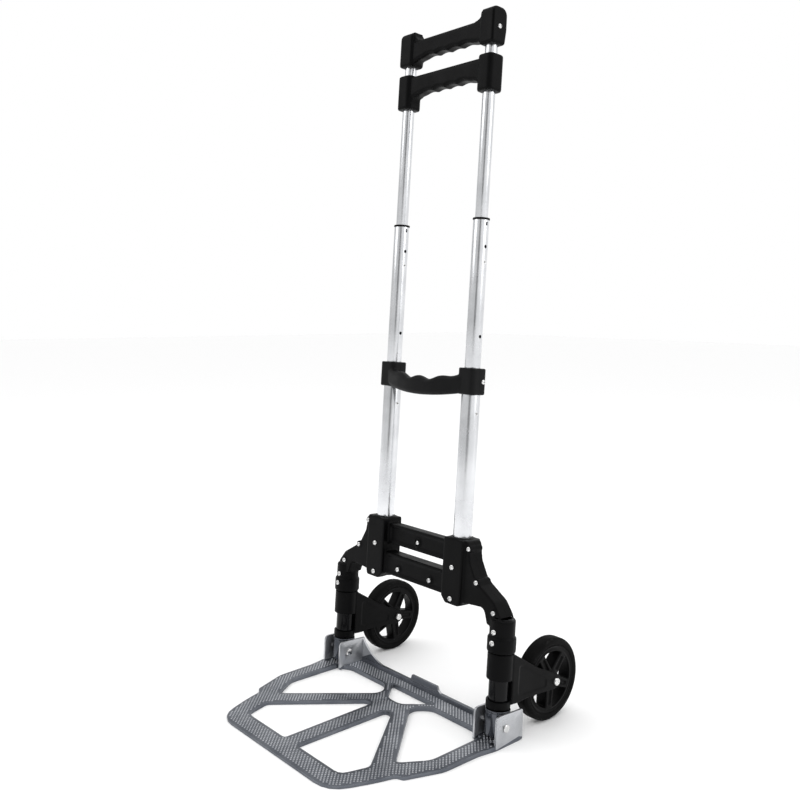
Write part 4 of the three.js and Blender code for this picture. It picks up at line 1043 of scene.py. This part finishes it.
def makeWheel(sideName, side):
    fit = wheelFit
    centre = Matrix.Translation((side * legX, axleY, axleZ))
    place = centre @ turns["x"]
    radius, half = (tyreHigh.z - tyreLow.z) / 2 - 0.1, fit["halfWidth"]
    inside = fit["tyreInside"]
    profile = roundPath([
        (inside, -half + 1.6, 0.5), (inside + 3, -half, 2), (radius - 4.6, -half, 3.2),
        (radius - 3.4, -half + 0.9, 0.4), (radius - 0.5, -half + 3.4, 2), (radius, -half + 6, 2),
        (radius, half - 6, 2), (radius - 0.5, half - 3.4, 2), (radius - 3.4, half - 0.9, 0.4),
        (radius - 4.6, half, 3.2), (inside + 3, half, 2), (inside, half - 1.6, 0.5)], 4)
    makePiece(f"tyre_{sideName}", tool(turned, profile, place, segments=144), "tyreRubber",
              f"wheel_{sideName}", [f"wheel_tyre_{sideName}"])
    rim = bmesh.new()
    outer, inner = fit["rimOutside"], fit["rimInside"]
    ring = roundPath([
        (inner, -half + 1, 0.8), (inner + 2.2, -half + 1, 0.6), (inner + 2.8, -half + 2.4, 0.6),
        (outer - 2.2, -half + 2.4, 0.6), (outer - 1.6, -half + 1, 0.6), (outer, -half + 1, 0.4),
        (outer, half - 1, 0.4), (outer - 1.6, half - 1, 0.6), (outer - 2.2, half - 2.4, 0.6),
        (inner + 2.8, half - 2.4, 0.6), (inner + 2.2, half - 1, 0.6), (inner, half - 1, 0.8)], 2)
    turned(rim, ring, Matrix.Identity(4), 120)
    hub = roundPath([(0, -fit["hubHalfWidth"]), (fit["hub"] - 1.5, -fit["hubHalfWidth"], 1),
                     (fit["hub"], -fit["hubHalfWidth"] + 2.5, 2),
                     (fit["hub"], fit["hubHalfWidth"] - 2.5, 2),
                     (fit["hub"] - 1.5, fit["hubHalfWidth"], 1), (0, fit["hubHalfWidth"])], 3)
    turned(rim, hub, Matrix.Identity(4), 72)
    wide, deep = fit["spokeWidth"] / 2, fit["spokeHalfDepth"]
    path = roundPath([(8, -wide * 1.25), (inner + 2, -wide * 0.95), (inner + 2, wide * 0.95),
                      (8, wide * 1.25)])
    scoop = roundPath([(17, -wide * 0.5, 2), (inner - 4, -wide * 0.42, 2),
                       (inner - 4, wide * 0.42, 2), (17, wide * 0.5, 2)])
    for spoke in range(fit["spokes"]):
        angle = math.radians(fit["firstSpoke"][sideName] + 360 / fit["spokes"] * spoke)
        bar = tool(prism, path, -deep, deep, "z")
        bevelEdges(bar, sharperThan(60), 1.8, 3)
        bar = carve(bar, [tool(prism, scoop, deep - fit["scoop"], deep + 2, "z"),
                          tool(prism, scoop, -deep - 2, -deep + fit["scoop"], "z")])
        bmesh.ops.rotate(bar, verts=bar.verts, matrix=Matrix.Rotation(angle, 3, "Z"))
        joinShape(rim, bar)
    moulded = mould(rim, fit["voxel"], fit["smoothing"])
    bored = carve(moulded, [tool(rod, fit["bushBore"], -40, 40, (0, 0), "z", segments=48)])
    # the rim's z axis turns to x, and its spokes' angles then count from the rear (+y) upwards
    standing = Matrix(((0, 0, 1, 0), (1, 0, 0, 0), (0, 1, 0, 0), (0, 0, 0, 1)))
    bmesh.ops.transform(bored, verts=bored.verts, matrix=centre @ standing)
    makePiece(f"rim_{sideName}", bored, "wheelPlastic", f"wheel_{sideName}",
              [f"wheel_rim_{sideName}"])
    low, high, _ = nodeBox(f"hub_bush_{sideName}")
    reach = (high.x - low.x) / 2
    profile = roundPath([(fit["bushInside"], -reach, 0.3), (fit["bushRadius"], -reach, 0.3),
                         (fit["bushRadius"], reach, 0.3), (fit["bushInside"], reach, 0.3)], 2)
    makePiece(f"hub_sleeve_{sideName}", tool(turned, profile, place, segments=48), "gripPlastic",
              f"wheel_{sideName}", [f"hub_bush_{sideName}"])
    low, high, _ = nodeBox(f"wheel_axle_{sideName}")
    reach, head = (high.x - low.x) / 2, (high.z - low.z) / 2
    seat = reach - fit["axleHead"]
    profile = roundPath([
        (0, -reach + 0.8), (2, -reach + 0.8, 0.3), (2.6, -reach, 0.3), (head - 1, -reach, 1.6),
        (head, -seat, 0.3), (fit["axle"], -seat), (fit["axle"], seat), (head, seat, 0.3),
        (head - 1, reach, 1.6), (2.6, reach, 0.3), (2, reach - 0.8, 0.3), (0, reach - 0.8)], 4)
    makePiece(f"axle_pin_{sideName}", tool(turned, profile, place, segments=56), "brightSteel",
              f"bracket_{sideName}", [f"wheel_axle_{sideName}"])


for sideName, side in sides.items():
    makeWheel(sideName, side)

# The toe plate is a casting with eased edges, covered with small raised studs. Its eased faces take a
# lighter finish as a painted highlight.

plateFit = {"ease": 0.9, "easeSegments": 2, "studPitch": 4.6, "studSize": 2.9, "studRise": 0.6,
            "studSink": 0.4, "studTaper": 0.55, "border": 4.2, "flatness": 1.2, "gridCentre": -120,
            "gridReach": 320, "studHalfWidth": 212, "studFront": -274, "studRear": 34,
            "topLow": 2, "topHigh": 9, "earX": 150, "earBehind": -26, "earAbove": 7.5,
            "edgeHighlightFrom": 0.15, "edgeHighlightTo": 0.985}

print("toe plate")


def makeToePlate():
    fit = plateFit
    casting = bmesh.new()
    casting.from_mesh(cadNodes["toe_plate"].data)
    bmesh.ops.transform(casting, verts=casting.verts, matrix=upright.inverted())
    bmesh.ops.remove_doubles(casting, verts=casting.verts, dist=0.01)
    bmesh.ops.dissolve_limit(casting, angle_limit=math.radians(1), verts=casting.verts,
                             edges=casting.edges)
    tree = BVHTree.FromBMesh(casting)

    def topAt(x, y):
        spot, normal, _, _ = tree.ray_cast(Vector((x, y, 60)), Vector((0, 0, -1)))
        level = spot and normal.z > 0.9 and fit["topLow"] < spot.z < fit["topHigh"]
        return spot.z if level else None

    # studs stand on a diagonal grid, wherever the plate is flat for a border's width around
    studs = bmesh.new()
    pitch = fit["studPitch"]
    reach = int(fit["gridReach"] / pitch)
    base, crown = fit["studSize"] / 2, fit["studSize"] / 2 - fit["studTaper"]
    around = [Vector((math.cos(turn), math.sin(turn))) * fit["border"]
              for turn in (math.tau * step / 8 for step in range(8))]
    for i in range(-reach, reach):
        for j in range(-reach, reach):
            x = (i - j) * pitch / math.sqrt(2)
            y = (i + j) * pitch / math.sqrt(2) + fit["gridCentre"]
            if abs(x) > fit["studHalfWidth"] or not fit["studFront"] < y < fit["studRear"]:
                continue
            height = topAt(x, y)
            if height is None:
                continue
            heights = [topAt(x + off.x, y + off.y) for off in around]
            if None in heights or max(heights) - min(heights) > fit["flatness"]:
                continue
            middle = height + (fit["studRise"] - fit["studSink"]) / 2
            bmesh.ops.create_cone(studs, cap_ends=True, segments=4, radius1=base * math.sqrt(2),
                                  radius2=crown * math.sqrt(2),
                                  depth=fit["studRise"] + fit["studSink"],
                                  matrix=Matrix.Translation((x, y, middle)))
    bevelEdges(casting, sharperThan(25), fit["ease"], fit["easeSegments"])
    bmesh.ops.triangulate(casting, faces=[face for face in casting.faces if len(face.verts) > 4])
    bmesh.ops.recalc_face_normals(casting, faces=casting.faces)
    castFaces = len(casting.faces)
    joinShape(casting, studs)
    piece = makePiece("toe_plate_casting", casting, "castAluminium", "toe_plate",
                      ["toe_plate"], space=upright, sharp=28)
    # eased faces, sloping between flat and upright, take the lighter satin finish as a painted
    # highlight on the rounded edges; the ears take it as their own lighter tone
    piece.data.materials.append(finishes["satinAluminiumAndEdgeHighlight"])
    piece.data.materials.append(finishes["studAluminium"])
    for polygon in piece.data.polygons:
        centre = polygon.center / mm
        atEar = (abs(centre.x) > fit["earX"] and centre.y > fit["earBehind"]
                 and centre.z > fit["earAbove"])
        eased = fit["edgeHighlightFrom"] < polygon.normal.z < fit["edgeHighlightTo"]
        if polygon.index >= castFaces:
            polygon.material_index = 2
        elif atEar or eased:
            polygon.material_index = 1


makeToePlate()

# Return springs are coils made at one fixed length; the real ones shorten as the release grip is
# lifted.

springFit = {"wire": 0.7, "coils": 7, "stepsPerCoil": 24, "sides": 10}

print("return springs")
for sideName in sides:
    node = f"return_spring_{sideName}"
    low, high, middle = nodeBox(node)
    wire = springFit["wire"]
    radius = (high.x - low.x) / 2 - wire
    steps = springFit["coils"] * springFit["stepsPerCoil"]
    rise = high.z - low.z - 2 * wire
    coil = bmesh.new()
    bmesh.ops.create_circle(coil, cap_ends=True, radius=wire, segments=springFit["sides"],
                            matrix=Matrix.Translation((radius, 0, low.z + wire)) @ turns["y"])
    bmesh.ops.spin(coil, geom=coil.verts[:] + coil.edges[:] + coil.faces[:], cent=(0, 0, 0),
                   axis=(0, 0, 1), dvec=(0, 0, rise / steps), steps=steps,
                   angle=math.tau * springFit["coils"], use_merge=False, use_duplicate=False)
    bmesh.ops.recalc_face_normals(coil, faces=coil.faces)
    bmesh.ops.translate(coil, verts=coil.verts, vec=(middle.x, middle.y, 0))
    piece = makePiece(f"return_spring_coil_{sideName}", coil, "brightSteel", "upper_stage",
                      [node], sharp=60)
    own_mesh(piece)

# Inner workings keep their imported shapes and take these finishes. The lock pins are gloss black as
# painted shade, standing for the dark seen down the lock holes.

keptFinishes = {"middle_lock_plug": "gripPlastic", "middle_lock_pin": "glossBlackAndPaintedShade",
                "upper_lock_plug": "gripPlastic", "upper_lock_pin": "glossBlackAndPaintedShade",
                "push_rod": "glossBlackAndPaintedShade", "grip_pin": "brightSteel"}

print("inner workings")
for kind, finish in keptFinishes.items():
    for sideName in sides:
        for slot in cadNodes[f"{kind}_{sideName}"].material_slots:
            slot.material = finishes[finish]
